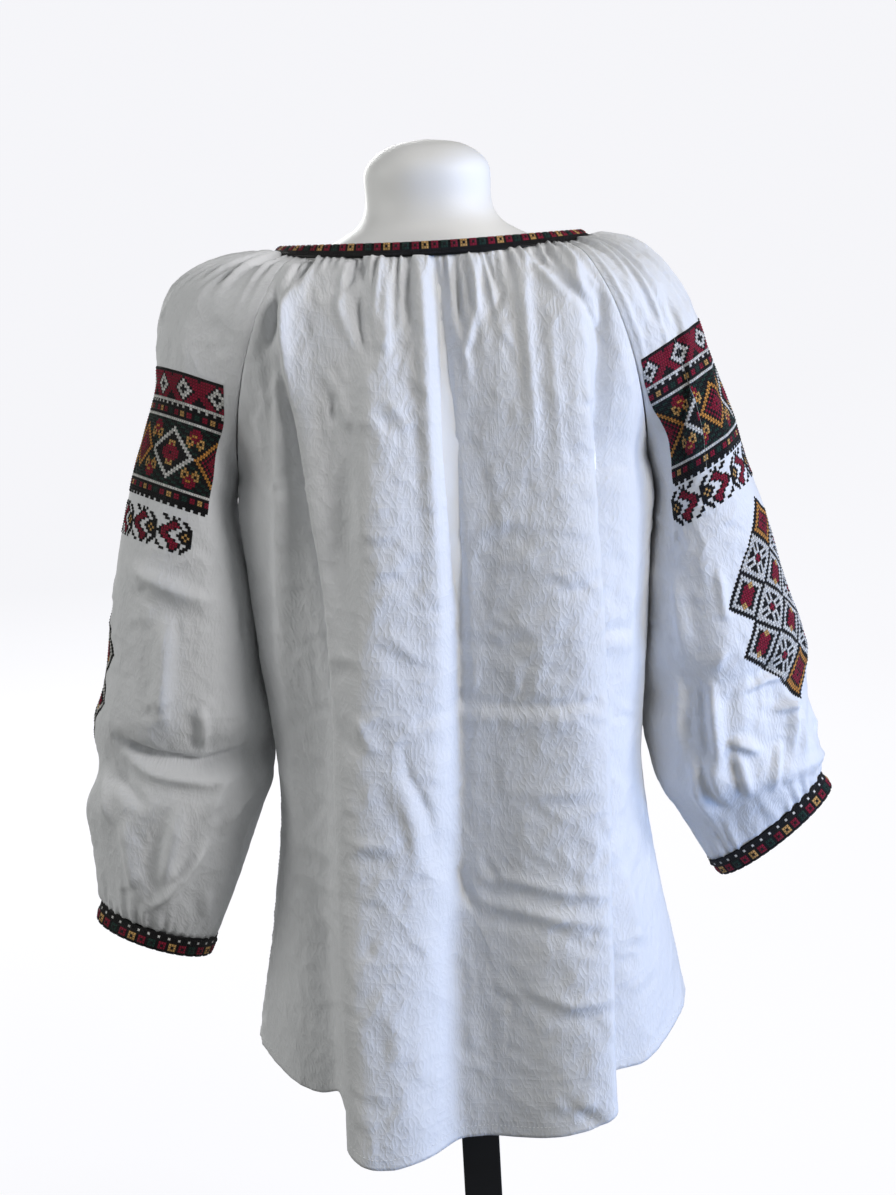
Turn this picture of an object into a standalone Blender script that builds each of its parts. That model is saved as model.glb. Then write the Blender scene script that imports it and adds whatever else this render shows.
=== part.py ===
"""An embroidered folk blouse (ie) on a limbless dress form, in metres, +Z up, +Y towards the chest.

The blouse is cut as four gathered panels: a back, a front and two sleeves that run up to the neck.
They are gathered into one narrow neck band, and each sleeve into a narrow cuff. The form stands on
a square post and a flat foot. The origin is on the floor, below the post.
"""

import math

import bmesh
import bpy
import numpy as np

# ---------------------------------------------------------------- driving dimensions
WALL = 0.0012  # thickness of the cloth wall
SEAM_GAP = 0.0005  # between two panels that are sewn together, along the cloth
UNDERARM_GAP = 0.0020  # between the middles of the sleeve's wall and the body's wall at the underarm
STITCH_GAP = 0.0006  # between the gathered cloth and its band

BAND_TALL = 0.0095  # the neck band's height
BAND_THICK = 0.0024
BAND_LEAN = (12.0, 60.0, 38.0)  # degrees that the band leans in: back, shoulders, front
CLOTH_LEAN = (18.0, 82.0, 44.0)  # and the cloth just below it
CUFF_TALL = 0.0150
CUFF_THICK = 0.0022
CUFF_SLIT = 0.0070  # gap between a cuff's two ends
KNOT_RADIUS = 0.0024  # the thread knot that closes a cuff
KNOT_GAP = 0.0005

BACK_GATHERS = 20
FRONT_GATHERS = 15
SLEEVE_GATHERS = 16

HEM_LIFT = 0.008  # how far the hem's right end hangs above the middle, and its left end below

POST_SIDE = 0.031
FOOT_SIDE = 0.280
FOOT_THICK = 0.008
FOOT_EDGE = 0.002
FORM_BASE_Z = 0.330  # underside of the dress form
TOUCH_GAP = 0.0003  # between pieces that rest on each other

# The sleeve from the neck band to the cuff, a row for each ring. x runs outwards from the middle.
# outer: the ring's outermost point. seam: the point midway between the sleeve's two edges, which
# meet under the arm at row 7. mid_y, depth: the ring's middle and half its size, front to back.
# wrap: degrees from the outer point to an edge. front_drop, back_drop: how far the ring dips.
#  outer_x outer_z seam_x seam_z mid_y depth wrap front_drop back_drop
SHOULDER = (
    (0.1245, 0.8965, 0.1032, 0.8965, 0.0085, 0.0965, 34, 0.050, 0.006),
    (0.1500, 0.8955, 0.1130, 0.8895, 0.0075, 0.1070, 44, 0.028, 0.004),
    (0.1740, 0.8920, 0.1230, 0.8730, 0.0055, 0.1040, 55, 0.013, 0.002),
    (0.1950, 0.8830, 0.1335, 0.8490, 0.0030, 0.0970, 67, 0.005, 0.000),
    (0.2080, 0.8680, 0.1440, 0.8180, 0.0020, 0.0850, 80, 0.000, 0.000),
    (0.2140, 0.8480, 0.1520, 0.7840, 0.0010, 0.0725, 107, 0.000, 0.000),
    (0.2170, 0.8250, 0.1575, 0.7500, 0.0000, 0.0650, 140, 0.000, 0.000),
    (0.2200, 0.7990, 0.1610, 0.7200, 0.0000, 0.0640, 180, 0.000, 0.000),
)
UNDERARM_ROW = len(SHOULDER) - 1
# The wearer's right shoulder sits lower: outer_x and outer_z of the same rows.
LOW_SHOULDER = (
    (0.1245, 0.8965),
    (0.1480, 0.8925),
    (0.1680, 0.8830),
    (0.1845, 0.8680),
    (0.1955, 0.8500),
    (0.2030, 0.8320),
    (0.2100, 0.8090),
    (0.2190, 0.7830),
)
# The rings below the underarm, closed all round: outer_x outer_z seam_x seam_z mid_y depth
LEFT_ARM = (
    (0.2320, 0.7650, 0.1655, 0.7030, 0.000, 0.0620),
    (0.2460, 0.7250, 0.1650, 0.6720, 0.000, 0.0610),
    (0.2595, 0.6720, 0.1620, 0.6320, 0.002, 0.0610),
    (0.2720, 0.6120, 0.1590, 0.5800, 0.004, 0.0630),
    (0.2840, 0.5520, 0.1545, 0.5350, 0.006, 0.0640),
    (0.2945, 0.5080, 0.1500, 0.5000, 0.008, 0.0590),
    (0.3015, 0.4650, 0.1590, 0.4655, 0.008, 0.0620),
    (0.3035, 0.4250, 0.1745, 0.4250, 0.008, 0.0560),
    (0.3020, 0.3940, 0.1945, 0.3770, 0.008, 0.0440),
    (0.2985, 0.3830, 0.2085, 0.3475, 0.008, 0.0350),
)
RIGHT_ARM = (
    (0.2280, 0.7570, 0.1655, 0.6970, 0.000, 0.0620),
    (0.2370, 0.7220, 0.1650, 0.6640, 0.000, 0.0610),
    (0.2520, 0.6770, 0.1610, 0.6250, 0.002, 0.0620),
    (0.2670, 0.6220, 0.1560, 0.5820, 0.005, 0.0640),
    (0.2810, 0.5600, 0.1510, 0.5380, 0.008, 0.0650),
    (0.2890, 0.5070, 0.1510, 0.5030, 0.010, 0.0640),
    (0.2910, 0.4820, 0.1590, 0.4700, 0.010, 0.0620),
    (0.2920, 0.4710, 0.1730, 0.4390, 0.010, 0.0560),
    (0.2925, 0.4630, 0.1870, 0.4130, 0.010, 0.0450),
    (0.2925, 0.4570, 0.2005, 0.3885, 0.010, 0.0350),
)

# The body panels. The first 8 rows end on the sleeves' edges, and these columns give their middle:
# back_y back_z front_y front_z, and the degrees that the panel turns from its middle to its edge.
YOKE = (
    (-0.0880, 0.8905, 0.1050, 0.8465, 56),
    (-0.0930, 0.8760, 0.1160, 0.8350, 52),
    (-0.1030, 0.8540, 0.1260, 0.8190, 48),
    (-0.1120, 0.8270, 0.1340, 0.8010, 47),
    (-0.1190, 0.7980, 0.1410, 0.7820, 50),
    (-0.1230, 0.7660, 0.1460, 0.7600, 57),
    (-0.1260, 0.7380, 0.1500, 0.7380, 68),
    (-0.1280, 0.7120, 0.1520, 0.7150, 90),
)
# Below the underarm both panels reach the side seam: side_x side_y side_z back_y back_z front_y front_z
BODY = (
    (0.1580, 0.000, 0.690, -0.1290, 0.683, 0.1520, 0.683),
    (0.1540, 0.000, 0.640, -0.1300, 0.634, 0.1470, 0.634),
    (0.1490, 0.000, 0.580, -0.1300, 0.575, 0.1410, 0.575),
    (0.1445, 0.000, 0.510, -0.1280, 0.505, 0.1380, 0.505),
    (0.1480, 0.000, 0.440, -0.1280, 0.434, 0.1380, 0.434),
    (0.1580, 0.000, 0.370, -0.1300, 0.362, 0.1420, 0.362),
    (0.1670, 0.000, 0.322, -0.1320, 0.287, 0.1480, 0.290),
    (0.1750, 0.000, 0.274, -0.1340, 0.213, 0.1530, 0.217),
)

# The large folds. x: metres from the middle at the neck, chest, waist and hem. out: how far the
# fold stands out there, less than 0 for a hollow. left, right: how far its two flanks reach.
FOLD_ROWS = (0.0, 6.0, 11.0, 15.0)  # the panel's rows at the neck, chest, waist and hem
#  x_neck x_chest x_waist x_hem  out_neck out_chest out_waist out_hem  left right
BACK_FOLDS = (
    (-0.112, -0.122, -0.086, -0.070, 0.002, 0.010, 0.016, 0.033, 0.020, 0.012),
    (-0.098, -0.105, -0.120, -0.127, -0.003, -0.009, -0.012, -0.034, 0.014, 0.020),
    (-0.040, -0.042, -0.048, -0.046, 0.003, 0.009, 0.015, 0.032, 0.022, 0.022),
    (0.004, -0.001, -0.018, -0.030, 0.004, 0.013, 0.014, 0.008, 0.022, 0.011),
    (0.014, 0.020, 0.014, 0.012, -0.003, -0.012, -0.022, -0.050, 0.012, 0.030),
    (0.060, 0.058, 0.060, 0.062, 0.002, 0.004, 0.004, 0.004, 0.016, 0.018),
    (0.104, 0.112, 0.098, 0.078, 0.003, 0.010, 0.020, 0.040, 0.030, 0.012),
    (0.122, 0.128, 0.118, 0.126, -0.003, -0.008, -0.012, -0.034, 0.009, 0.022),
)
FRONT_FOLDS = (
    (-0.090, -0.105, -0.110, -0.118, 0.002, 0.004, 0.008, 0.016, 0.022, 0.022),
    (-0.062, -0.075, -0.078, -0.082, -0.002, -0.004, -0.008, -0.016, 0.016, 0.016),
    (-0.030, -0.040, -0.042, -0.044, 0.003, 0.005, 0.010, 0.020, 0.020, 0.020),
    (0.000, 0.000, 0.002, 0.004, -0.003, -0.005, -0.010, -0.018, 0.020, 0.020),
    (0.032, 0.038, 0.046, 0.054, 0.003, 0.005, 0.010, 0.022, 0.020, 0.020),
    (0.062, 0.075, 0.084, 0.092, -0.002, -0.004, -0.008, -0.014, 0.016, 0.016),
    (0.090, 0.104, 0.112, 0.124, 0.002, 0.004, 0.008, 0.014, 0.022, 0.022),
)
# Folds that run down a sleeve: turn is -1 at the back edge, 0 on the outside, 1 at the front edge.
#  turn_top turn_low row_top row_low out  half_width (in turns)
LEFT_SLEEVE_FOLDS = (
    (-0.62, -0.55, 2.0, 8.0, 0.0040, 0.10),
    (-0.40, -0.42, 9.5, 13.0, 0.0050, 0.09),
    (-0.66, -0.40, 13.0, 17.0, 0.0055, 0.10),
    (-0.20, -0.18, 13.5, 17.0, -0.0050, 0.10),
    (0.35, 0.30, 8.0, 13.0, 0.0050, 0.12),
    (0.50, 0.45, 13.0, 17.0, -0.0050, 0.12),
)
RIGHT_SLEEVE_FOLDS = (
    (-0.30, -0.33, 3.0, 9.5, 0.0050, 0.07),
    (-0.22, -0.24, 4.0, 9.5, -0.0040, 0.06),
    (-0.60, -0.50, 8.5, 15.0, 0.0060, 0.09),
    (-0.38, -0.30, 10.0, 16.5, -0.0055, 0.10),
    (0.35, 0.30, 8.0, 13.0, 0.0050, 0.12),
    (0.50, 0.45, 13.0, 17.0, -0.0050, 0.12),
)
# Creases that run round a sleeve: row, out, half height (in rows)
LEFT_SLEEVE_RINGS = ((12.2, 0.0040, 0.5), (13.1, -0.0050, 0.4), (13.9, 0.0040, 0.5))
RIGHT_SLEEVE_RINGS = ((11.6, 0.0030, 0.5), (12.4, -0.0040, 0.4), (14.6, 0.0040, 0.6))

# How far the small gathers stand out, by row: they rise just below the band and die out.
NECK_GATHER_ROWS = (0.0, 0.5, 1.5, 3.0, 5.0, 8.0)
NECK_GATHER_OUT = (0.0009, 0.0021, 0.0024, 0.0014, 0.0007, 0.0)
CUFF_GATHER_ROWS = (13.0, 15.0, 16.0, 16.7, 17.0)  # the sleeve's rows
CUFF_GATHER_OUT = (0.0, 0.0010, 0.0026, 0.0024, 0.0011)

# The dress form: z, half width, back_y, front_y. The neck has a domed top.
FORM = (
    (0.3300, 0.114, -0.074, 0.084),
    (0.3360, 0.120, -0.080, 0.090),
    (0.3700, 0.125, -0.083, 0.094),
    (0.4200, 0.124, -0.084, 0.094),
    (0.4700, 0.121, -0.085, 0.092),
    (0.5200, 0.119, -0.088, 0.092),
    (0.5700, 0.126, -0.096, 0.098),
    (0.6300, 0.138, -0.105, 0.116),
    (0.6900, 0.146, -0.111, 0.133),
    (0.7400, 0.151, -0.111, 0.132),
    (0.7900, 0.163, -0.106, 0.117),
    (0.8300, 0.177, -0.097, 0.098),
    (0.8600, 0.178, -0.087, 0.078),
    (0.8780, 0.1695, -0.078, 0.065),
    (0.8880, 0.148, -0.066, 0.062),
    (0.8946, 0.125, -0.056, 0.057),
    (0.8985, 0.088, -0.057, 0.052),
    (0.9080, 0.065, -0.056, 0.050),
    (0.9180, 0.053, -0.052, 0.050),
    (0.9320, 0.0485, -0.049, 0.049),
    (0.9535, 0.0485, -0.049, 0.049),
    (0.9650, 0.0415, -0.042, 0.042),
    (0.9740, 0.0260, -0.026, 0.026),
)
FORM_TOP_Z = 0.9778
FORM_SIDES = 28
FORM_SQUARE = 0.90  # below 1 makes the form's sections a little squarer than an ellipse

# Where each panel's mesh has its rows.
BODY_MESH_ROWS = (0, 0.5, 1.0, 1.7, 2.5, 3.5, 4.5, 5.5, 6.5, 7.3, 8, 8.8, 9.6, 10.5, 11.4, 12.3, 13.2, 14.1, 15)
SLEEVE_MESH_ROWS = (0, 0.5, 1.0, 1.7, 2.5, 3.4, 4.3, 5.2, 6.1, 7, 8, 9, 10, 11, 12, 12.6, 13.1, 13.8, 14.6, 15.4, 16.1, 16.6, 17)

CLOTH_WHITE = (0.82, 0.83, 0.84, 1.0)
BAND_BLACK = (0.02, 0.02, 0.022, 1.0)
FORM_WHITE = (0.78, 0.78, 0.78, 1.0)
STAND_BLACK = (0.015, 0.015, 0.016, 1.0)


# ---------------------------------------------------------------- reading the tables
def between(rows, at):
    """A table read smoothly between its rows: 2.5 is halfway from row 2 to row 3."""
    rows = np.asarray(rows, float)
    last = len(rows) - 1
    i = min(max(int(at), 0), last - 1)
    f = at - i
    a, b, c, d = (rows[min(max(k, 0), last)] for k in (i - 1, i, i + 1, i + 2))
    bend = (2 * a - 5 * b + 4 * c - d) * f**2 + (3 * b - a - 3 * c + d) * f**3
    return 0.5 * (2 * b + (c - a) * f + bend)


def sleeve_table(arm, outer=None):
    """All rows of one sleeve, with the same nine columns as SHOULDER."""
    top = [list(row) for row in SHOULDER]
    for row, point in zip(top, outer or ()):
        row[:2] = point
    return top + [list(row) + [180, 0.0, 0.0] for row in arm]


LEFT_SLEEVE = sleeve_table(LEFT_ARM)
RIGHT_SLEEVE = sleeve_table(RIGHT_ARM, LOW_SHOULDER)
LAST_SLEEVE_ROW = len(LEFT_SLEEVE) - 1
LAST_BODY_ROW = len(YOKE) + len(BODY) - 1


def ramp(value, start, end):
    """0 before start, 1 after end, and smooth in between."""
    t = min(max((value - start) / (end - start), 0.0), 1.0)
    return t * t * (3 - 2 * t)


def hump(distance, reach):
    return math.exp(-((distance / reach) ** 2))


# ---------------------------------------------------------------- the surfaces, without their folds
def sleeve_point(table, row, turn):
    """The middle of the sleeve's wall. turn is -1 at the back edge and 1 at the front edge."""
    outer_x, outer_z, seam_x, seam_z, mid_y, depth, wrap, front_drop, back_drop = between(table, row)
    full = math.radians(min(wrap, 180.0))
    angle = turn * full
    share = (math.cos(angle) - math.cos(full)) / (1 - math.cos(full))
    drop = (front_drop if turn > 0 else back_drop) * math.sin(angle) ** 2
    clear = UNDERARM_GAP / 2 * ramp(row, 1.5, 5.0)
    x = seam_x + (outer_x - seam_x) * share + clear
    z = seam_z + (outer_z - seam_z) * share - drop
    return np.array((x, mid_y + depth * math.sin(angle), z))


def body_edge(side, row):
    """Where a body panel's edge lies: along the sleeve, and from the underarm down the side seam."""
    if row <= UNDERARM_ROW:
        _, _, seam_x, seam_z, mid_y, depth, wrap, front_drop, back_drop = between(SHOULDER, row)
        full = math.radians(wrap)
        drop = front_drop if side > 0 else back_drop
        clear = UNDERARM_GAP / 2 * ramp(row, 1.5, 5.0)
        y = mid_y + side * depth * math.sin(full)
        return np.array((seam_x - clear, y, seam_z - drop * math.sin(full) ** 2))
    underarm = (SHOULDER[-1][2], 0.0, SHOULDER[-1][3])
    rows = [underarm] + [row_[:3] for row_ in BODY]
    edge = between(rows, row - UNDERARM_ROW)
    edge[0] -= UNDERARM_GAP / 2
    return edge


def body_middle(side, row):
    """(y, z, turn) of a body panel at its middle."""
    first = 2 if side > 0 else 0
    yoke = [(r[first], r[first + 1], r[4]) for r in YOKE]
    low = [(r[first + 3], r[first + 4], 90) for r in BODY]
    y, z, turn = between(yoke + low, row)
    return y, z, math.radians(min(turn, 90.0))


def body_point(side, row, across):
    """The middle of a body panel's wall. side is -1 for the back and 1 for the front."""
    edge_x, edge_y, edge_z = body_edge(side, row)
    mid_y, mid_z, full = body_middle(side, row)
    angle = across * full
    share = (math.cos(angle) - math.cos(full)) / (1 - math.cos(full))
    dip = (math.cos(angle) ** 2 - math.cos(full) ** 2) / (1 - math.cos(full) ** 2)
    sideways = math.sin(angle) / math.sin(full)
    lift = HEM_LIFT * sideways * ramp(row, UNDERARM_ROW + 1, LAST_BODY_ROW)
    y = edge_y + (mid_y - edge_y) * share
    return np.array((edge_x * sideways, y, edge_z + (mid_z - edge_z) * dip + lift))


# ---------------------------------------------------------------- the folds and gathers
def edge_fade(across):
    """Folds end at a panel's sewn edges."""
    return 1 - abs(across) ** 10


def gather(across, count, out):
    """Small waves, one crest for each gather, a little uneven."""
    wave = math.cos(math.pi * count * (across + 1))
    uneven = 0.75 + 0.25 * math.sin(5.0 * across + 1.3) * math.cos(11.0 * across)
    return out * uneven * wave


def body_folds(side, row, across, x):
    folds, count = (FRONT_FOLDS, FRONT_GATHERS) if side > 0 else (BACK_FOLDS, BACK_GATHERS)
    out = 0.0
    for fold in folds:
        place = np.interp(row, FOLD_ROWS, fold[0:4])
        height = np.interp(row, FOLD_ROWS, fold[4:8])
        reach = fold[8] if x < place else fold[9]
        out += height * hump(x - place, reach)
    small = np.interp(row, NECK_GATHER_ROWS, NECK_GATHER_OUT)
    start = ramp(row, 0.0, 1.5)
    return (out * start + gather(across, count, small)) * edge_fade(across)


def sleeve_folds(folds, rings, row, turn):
    out = 0.0
    for turn_top, turn_low, row_top, row_low, height, reach in folds:
        along = (row - row_top) / (row_low - row_top)
        if 0.0 < along < 1.0:
            place = turn_top + (turn_low - turn_top) * along
            out += height * math.sin(math.pi * along) * hump(turn - place, reach)
    for middle, height, reach in rings:
        out += height * hump(row - middle, reach)
    small = np.interp(row, NECK_GATHER_ROWS, NECK_GATHER_OUT) * 0.55
    small += np.interp(row, CUFF_GATHER_ROWS, CUFF_GATHER_OUT)
    return (out + gather(turn, SLEEVE_GATHERS, small)) * edge_fade(turn)


# ---------------------------------------------------------------- meshes
def shaded(name, colour, roughness, metallic=0.0):
    material = bpy.data.materials.new(name)
    material.use_nodes = True
    surface = material.node_tree.nodes["Principled BSDF"]
    surface.inputs["Base Color"].default_value = colour
    surface.inputs["Roughness"].default_value = roughness
    surface.inputs["Metallic"].default_value = metallic
    return material


def add(name, mesh, material, smooth=True):
    obj = bpy.data.objects.new(name, mesh)
    parts.objects.link(obj)
    mesh.materials.append(material)
    if smooth:
        mesh.shade_smooth()
    return obj


def grid_mesh(name, rows, round_it=False):
    """A sheet lofted through rows of points. round_it joins each row's end to its start."""
    bm = bmesh.new()
    verts = [[bm.verts.new(point) for point in row] for row in rows]
    columns = len(rows[0])
    for upper, lower in zip(verts, verts[1:]):
        for i in range(columns if round_it else columns - 1):
            j = (i + 1) % columns
            bm.faces.new((upper[i], lower[i], lower[j], upper[j]))
    mesh = bpy.data.meshes.new(name)
    bm.to_mesh(mesh)
    bm.free()
    return mesh


def outward(base, centre_of):
    """The unit normals of a grid of points, turned away from centre_of(row)."""
    base = np.asarray(base)
    along = np.gradient(base, axis=0)
    across = np.gradient(base, axis=1)
    normal = np.cross(along, across)
    normal /= np.linalg.norm(normal, axis=2, keepdims=True)
    for r, row in enumerate(normal):
        away = base[r] - centre_of(r)
        if (row * away).sum() < 0:
            normal[r] = -row
    return normal


def trimmed(point_at, columns):
    """Positions from -1 to 1, drawn back from both edges by half a seam gap."""
    length = np.linalg.norm(point_at(1.0) - point_at(0.98)) / 0.02
    reach = 1 - SEAM_GAP / 2 / length
    return [reach * (2 * i / columns - 1) for i in range(columns + 1)]


def cloth(name, base, folds, material, mirror=1.0):
    """A panel: its base points moved out by the folds, then given the cloth's thickness."""
    centre = [row.mean(axis=0) * (0.0, 0.3, 1.0) + (row[:, 0].mean(), 0, 0) for row in base]
    normal = outward(base, lambda r: centre[r])
    points = np.asarray(base) + normal * np.asarray(folds)[..., None]
    points[..., 0] *= mirror
    obj = add(name, grid_mesh(name, points), material)
    wall = obj.modifiers.new("cloth wall", "SOLIDIFY")
    wall.thickness = WALL
    wall.offset = 0.0
    return obj


def body_panel(name, side, columns, material):
    base, folds = [], []
    for row in BODY_MESH_ROWS:
        places = trimmed(lambda a, r=row: body_point(side, r, a), columns)
        points = [body_point(side, row, a) for a in places]
        base.append(np.array(points))
        folds.append([body_folds(side, row, a, p[0]) for a, p in zip(places, points)])
    return cloth(name, base, folds, material)


def sleeve(name, table, folds, rings, mirror, material):
    base, out = [], []
    for row in SLEEVE_MESH_ROWS:
        places = trimmed(lambda a, r=row: sleeve_point(table, r, a), 2 * SLEEVE_GATHERS)
        base.append(np.array([sleeve_point(table, row, a) for a in places]))
        out.append([sleeve_folds(folds, rings, row, a) for a in places])
    return cloth(name, base, out, material, mirror)


def ring_wall(name, lower, upper, thick, material, closed):
    """A band of cloth between two rings of points, thick on both sides of them."""
    obj = add(name, grid_mesh(name, [upper, lower], closed), material)
    wall = obj.modifiers.new("band wall", "SOLIDIFY")
    wall.thickness = thick
    wall.offset = 0.0
    return obj


def neck_ring(angle):
    """The neckline. angle is 0 at the middle of the back and half a turn at the front."""
    half_x, ring_z = SHOULDER[0][0], SHOULDER[0][1]
    mid_y, depth, front_drop, back_drop = (SHOULDER[0][k] for k in (4, 5, 7, 8))
    drop = (back_drop if math.cos(angle) > 0 else front_drop) * math.cos(angle) ** 2
    return np.array((half_x * math.sin(angle), mid_y - depth * math.cos(angle), ring_z - drop))


def leaning(angle, back, shoulder, front):
    """How far the neckline's cloth leans in, in radians."""
    end = back if math.cos(angle) > 0 else front
    return math.radians(end + (shoulder - end) * math.sin(angle) ** 2)


def neck_band(material, steps=64):
    lower, upper = [], []
    for i in range(steps):
        angle = math.tau * i / steps
        point = neck_ring(angle)
        radial = np.array((math.sin(angle), -math.cos(angle), 0.0))
        band, cloth_below = (leaning(angle, *leans) for leans in (BAND_LEAN, CLOTH_LEAN))
        rise = np.array((0, 0, math.cos(band))) - radial * math.sin(band)
        lower.append(point + rise * (STITCH_GAP + BAND_THICK / 2 * math.sin(cloth_below - band)))
        upper.append(lower[-1] + rise * BAND_TALL)
    return ring_wall("neck_band", lower, upper, BAND_THICK, material, True)


def cuff_frame(table):
    """(middle, outward half axis, front-to-back half axis, direction down the cuff) of a sleeve's end."""
    outer_x, outer_z, seam_x, seam_z, mid_y, depth = table[-1][:6]
    clear = UNDERARM_GAP / 2
    middle = np.array(((outer_x + seam_x) / 2 + clear, mid_y, (outer_z + seam_z) / 2))
    half = np.array(((outer_x - seam_x) / 2, 0.0, (outer_z - seam_z) / 2))
    down = np.array((half[2], 0.0, -half[0])) / np.linalg.norm(half)
    return middle, half, np.array((0.0, depth, 0.0)), down


def cuff(name, table, mirror, material, steps=36):
    middle, half, deep, down = cuff_frame(table)
    open_half = CUFF_SLIT / 2 / deep[1]
    upper, lower = [], []
    for i in range(steps + 1):
        angle = -(math.pi - open_half) + 2 * (math.pi - open_half) * i / steps
        ring = middle + half * math.cos(angle) + deep * math.sin(angle)
        upper.append((ring + down * (STITCH_GAP + CUFF_THICK * 0.4)) * (mirror, 1, 1))
        lower.append(upper[-1] + down * (mirror, 1, 1) * CUFF_TALL)
    return ring_wall(name, lower, upper, CUFF_THICK, material, False)


def cuff_knot(name, table, mirror, material):
    """The thread knot in a cuff's slit, which holds its two ends together."""
    middle, half, _, down = cuff_frame(table)
    place = middle - half + down * (STITCH_GAP + CUFF_TALL * 0.3)
    bm = bmesh.new()
    bmesh.ops.create_uvsphere(bm, u_segments=10, v_segments=6, radius=KNOT_RADIUS)
    reach = (CUFF_SLIT / 2 - KNOT_GAP) / KNOT_RADIUS
    bmesh.ops.scale(bm, vec=(1.0, reach, 1.2), verts=bm.verts)
    bmesh.ops.translate(bm, vec=place * (mirror, 1, 1), verts=bm.verts)
    mesh = bpy.data.meshes.new(name)
    bm.to_mesh(mesh)
    bm.free()
    return add(name, mesh, material)


def dress_form(material):
    """Rings of points from the underside up to the neck, closed by a flat underside and a domed top."""
    rings = []
    for z, half_x, back_y, front_y in FORM:
        ring = []
        for i in range(FORM_SIDES):
            angle = math.tau * i / FORM_SIDES
            c, s = math.cos(angle), math.sin(angle)
            x = half_x * math.copysign(abs(c) ** FORM_SQUARE, c)
            y = (front_y if s > 0 else -back_y) * math.copysign(abs(s) ** FORM_SQUARE, s)
            ring.append((x, y, z))
        rings.append(ring)
    bm = bmesh.new()
    verts = [[bm.verts.new(p) for p in ring] for ring in rings]
    for lower, upper in zip(verts, verts[1:]):
        for i in range(FORM_SIDES):
            j = (i + 1) % FORM_SIDES
            bm.faces.new((lower[i], lower[j], upper[j], upper[i]))
    bm.faces.new(reversed(verts[0]))
    top = bm.verts.new((0.0, 0.0, FORM_TOP_Z))
    for i in range(FORM_SIDES):
        bm.faces.new((verts[-1][i], verts[-1][(i + 1) % FORM_SIDES], top))
    mesh = bpy.data.meshes.new("dress_form")
    bm.to_mesh(mesh)
    bm.free()
    return add("dress_form", mesh, material)


def block(name, side_x, side_y, low_z, high_z, edge, material):
    bm = bmesh.new()
    bmesh.ops.create_cube(bm, size=1.0)
    bmesh.ops.scale(bm, vec=(side_x, side_y, high_z - low_z), verts=bm.verts)
    bmesh.ops.translate(bm, vec=(0, 0, (low_z + high_z) / 2), verts=bm.verts)
    mesh = bpy.data.meshes.new(name)
    bm.to_mesh(mesh)
    bm.free()
    obj = add(name, mesh, material, smooth=False)
    rounding = obj.modifiers.new("rounded edges", "BEVEL")
    rounding.width = edge
    rounding.segments = 2
    return obj


# ---------------------------------------------------------------- the object
for old in list(bpy.data.objects):
    bpy.data.objects.remove(old)
parts = bpy.data.collections.new("folk blouse on a dress form")
bpy.context.scene.collection.children.link(parts)

white_cotton = shaded("white cotton", CLOTH_WHITE, 0.85)
black_braid = shaded("black cross-stitch", BAND_BLACK, 0.8)
form_shell = shaded("white form shell", FORM_WHITE, 0.5)
black_steel = shaded("black steel", STAND_BLACK, 0.45, 0.6)

body_panel("back_panel", -1, 2 * BACK_GATHERS, white_cotton)
body_panel("front_panel", 1, 2 * FRONT_GATHERS, white_cotton)
sleeve("sleeve_left", LEFT_SLEEVE, LEFT_SLEEVE_FOLDS, LEFT_SLEEVE_RINGS, -1.0, white_cotton)
sleeve("sleeve_right", RIGHT_SLEEVE, RIGHT_SLEEVE_FOLDS, RIGHT_SLEEVE_RINGS, 1.0, white_cotton)
neck_band(black_braid)
cuff("cuff_left", LEFT_SLEEVE, -1.0, black_braid)
cuff("cuff_right", RIGHT_SLEEVE, 1.0, black_braid)
cuff_knot("cuff_knot_left", LEFT_SLEEVE, -1.0, black_braid)
cuff_knot("cuff_knot_right", RIGHT_SLEEVE, 1.0, black_braid)

dress_form(form_shell)
post_low = FOOT_THICK + TOUCH_GAP
block("post", POST_SIDE, POST_SIDE, post_low, FORM_BASE_Z - TOUCH_GAP, 0.001, black_steel)
block("foot", FOOT_SIDE, FOOT_SIDE, 0.0, FOOT_THICK, FOOT_EDGE, black_steel)
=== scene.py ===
# %% [markdown]
# # An embroidered folk blouse on a dress form
#
# The blouse is a gathered one: a back, a front and two sleeves, all straight pieces of thin white
# cotton, are drawn up small at the neck and sewn into one narrow embroidered band. Each sleeve
# ends in a narrow embroidered cuff. Cross-stitch covers the shoulders and runs down the sleeves.
# The cloth hangs from the shoulders of a limbless dress form that stands on a square post.
#
# Cloth like this is mostly one kind of surface: a grid that is lofted through a table of
# sections, then pushed in and out by folds. So the lesson makes that surface once, as a function
# of a row and a place across, and every later step is a way to move its points.

# %% Setup
import math

import bmesh
import bpy
import numpy as np
from mathutils import Matrix, Vector


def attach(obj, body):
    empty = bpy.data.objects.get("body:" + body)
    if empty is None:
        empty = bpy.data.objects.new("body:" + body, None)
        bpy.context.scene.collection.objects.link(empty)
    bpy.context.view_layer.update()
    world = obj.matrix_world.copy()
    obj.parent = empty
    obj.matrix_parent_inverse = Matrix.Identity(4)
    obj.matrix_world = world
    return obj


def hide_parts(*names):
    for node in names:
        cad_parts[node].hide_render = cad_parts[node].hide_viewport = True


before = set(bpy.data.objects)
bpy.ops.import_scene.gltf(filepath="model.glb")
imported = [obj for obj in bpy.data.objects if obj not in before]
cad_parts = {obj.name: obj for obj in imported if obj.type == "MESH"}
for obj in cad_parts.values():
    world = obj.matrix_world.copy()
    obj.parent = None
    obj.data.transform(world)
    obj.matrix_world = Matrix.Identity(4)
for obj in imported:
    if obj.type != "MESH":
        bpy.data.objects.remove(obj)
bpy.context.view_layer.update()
print("solids to dress:", ", ".join(sorted(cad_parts)))

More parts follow.
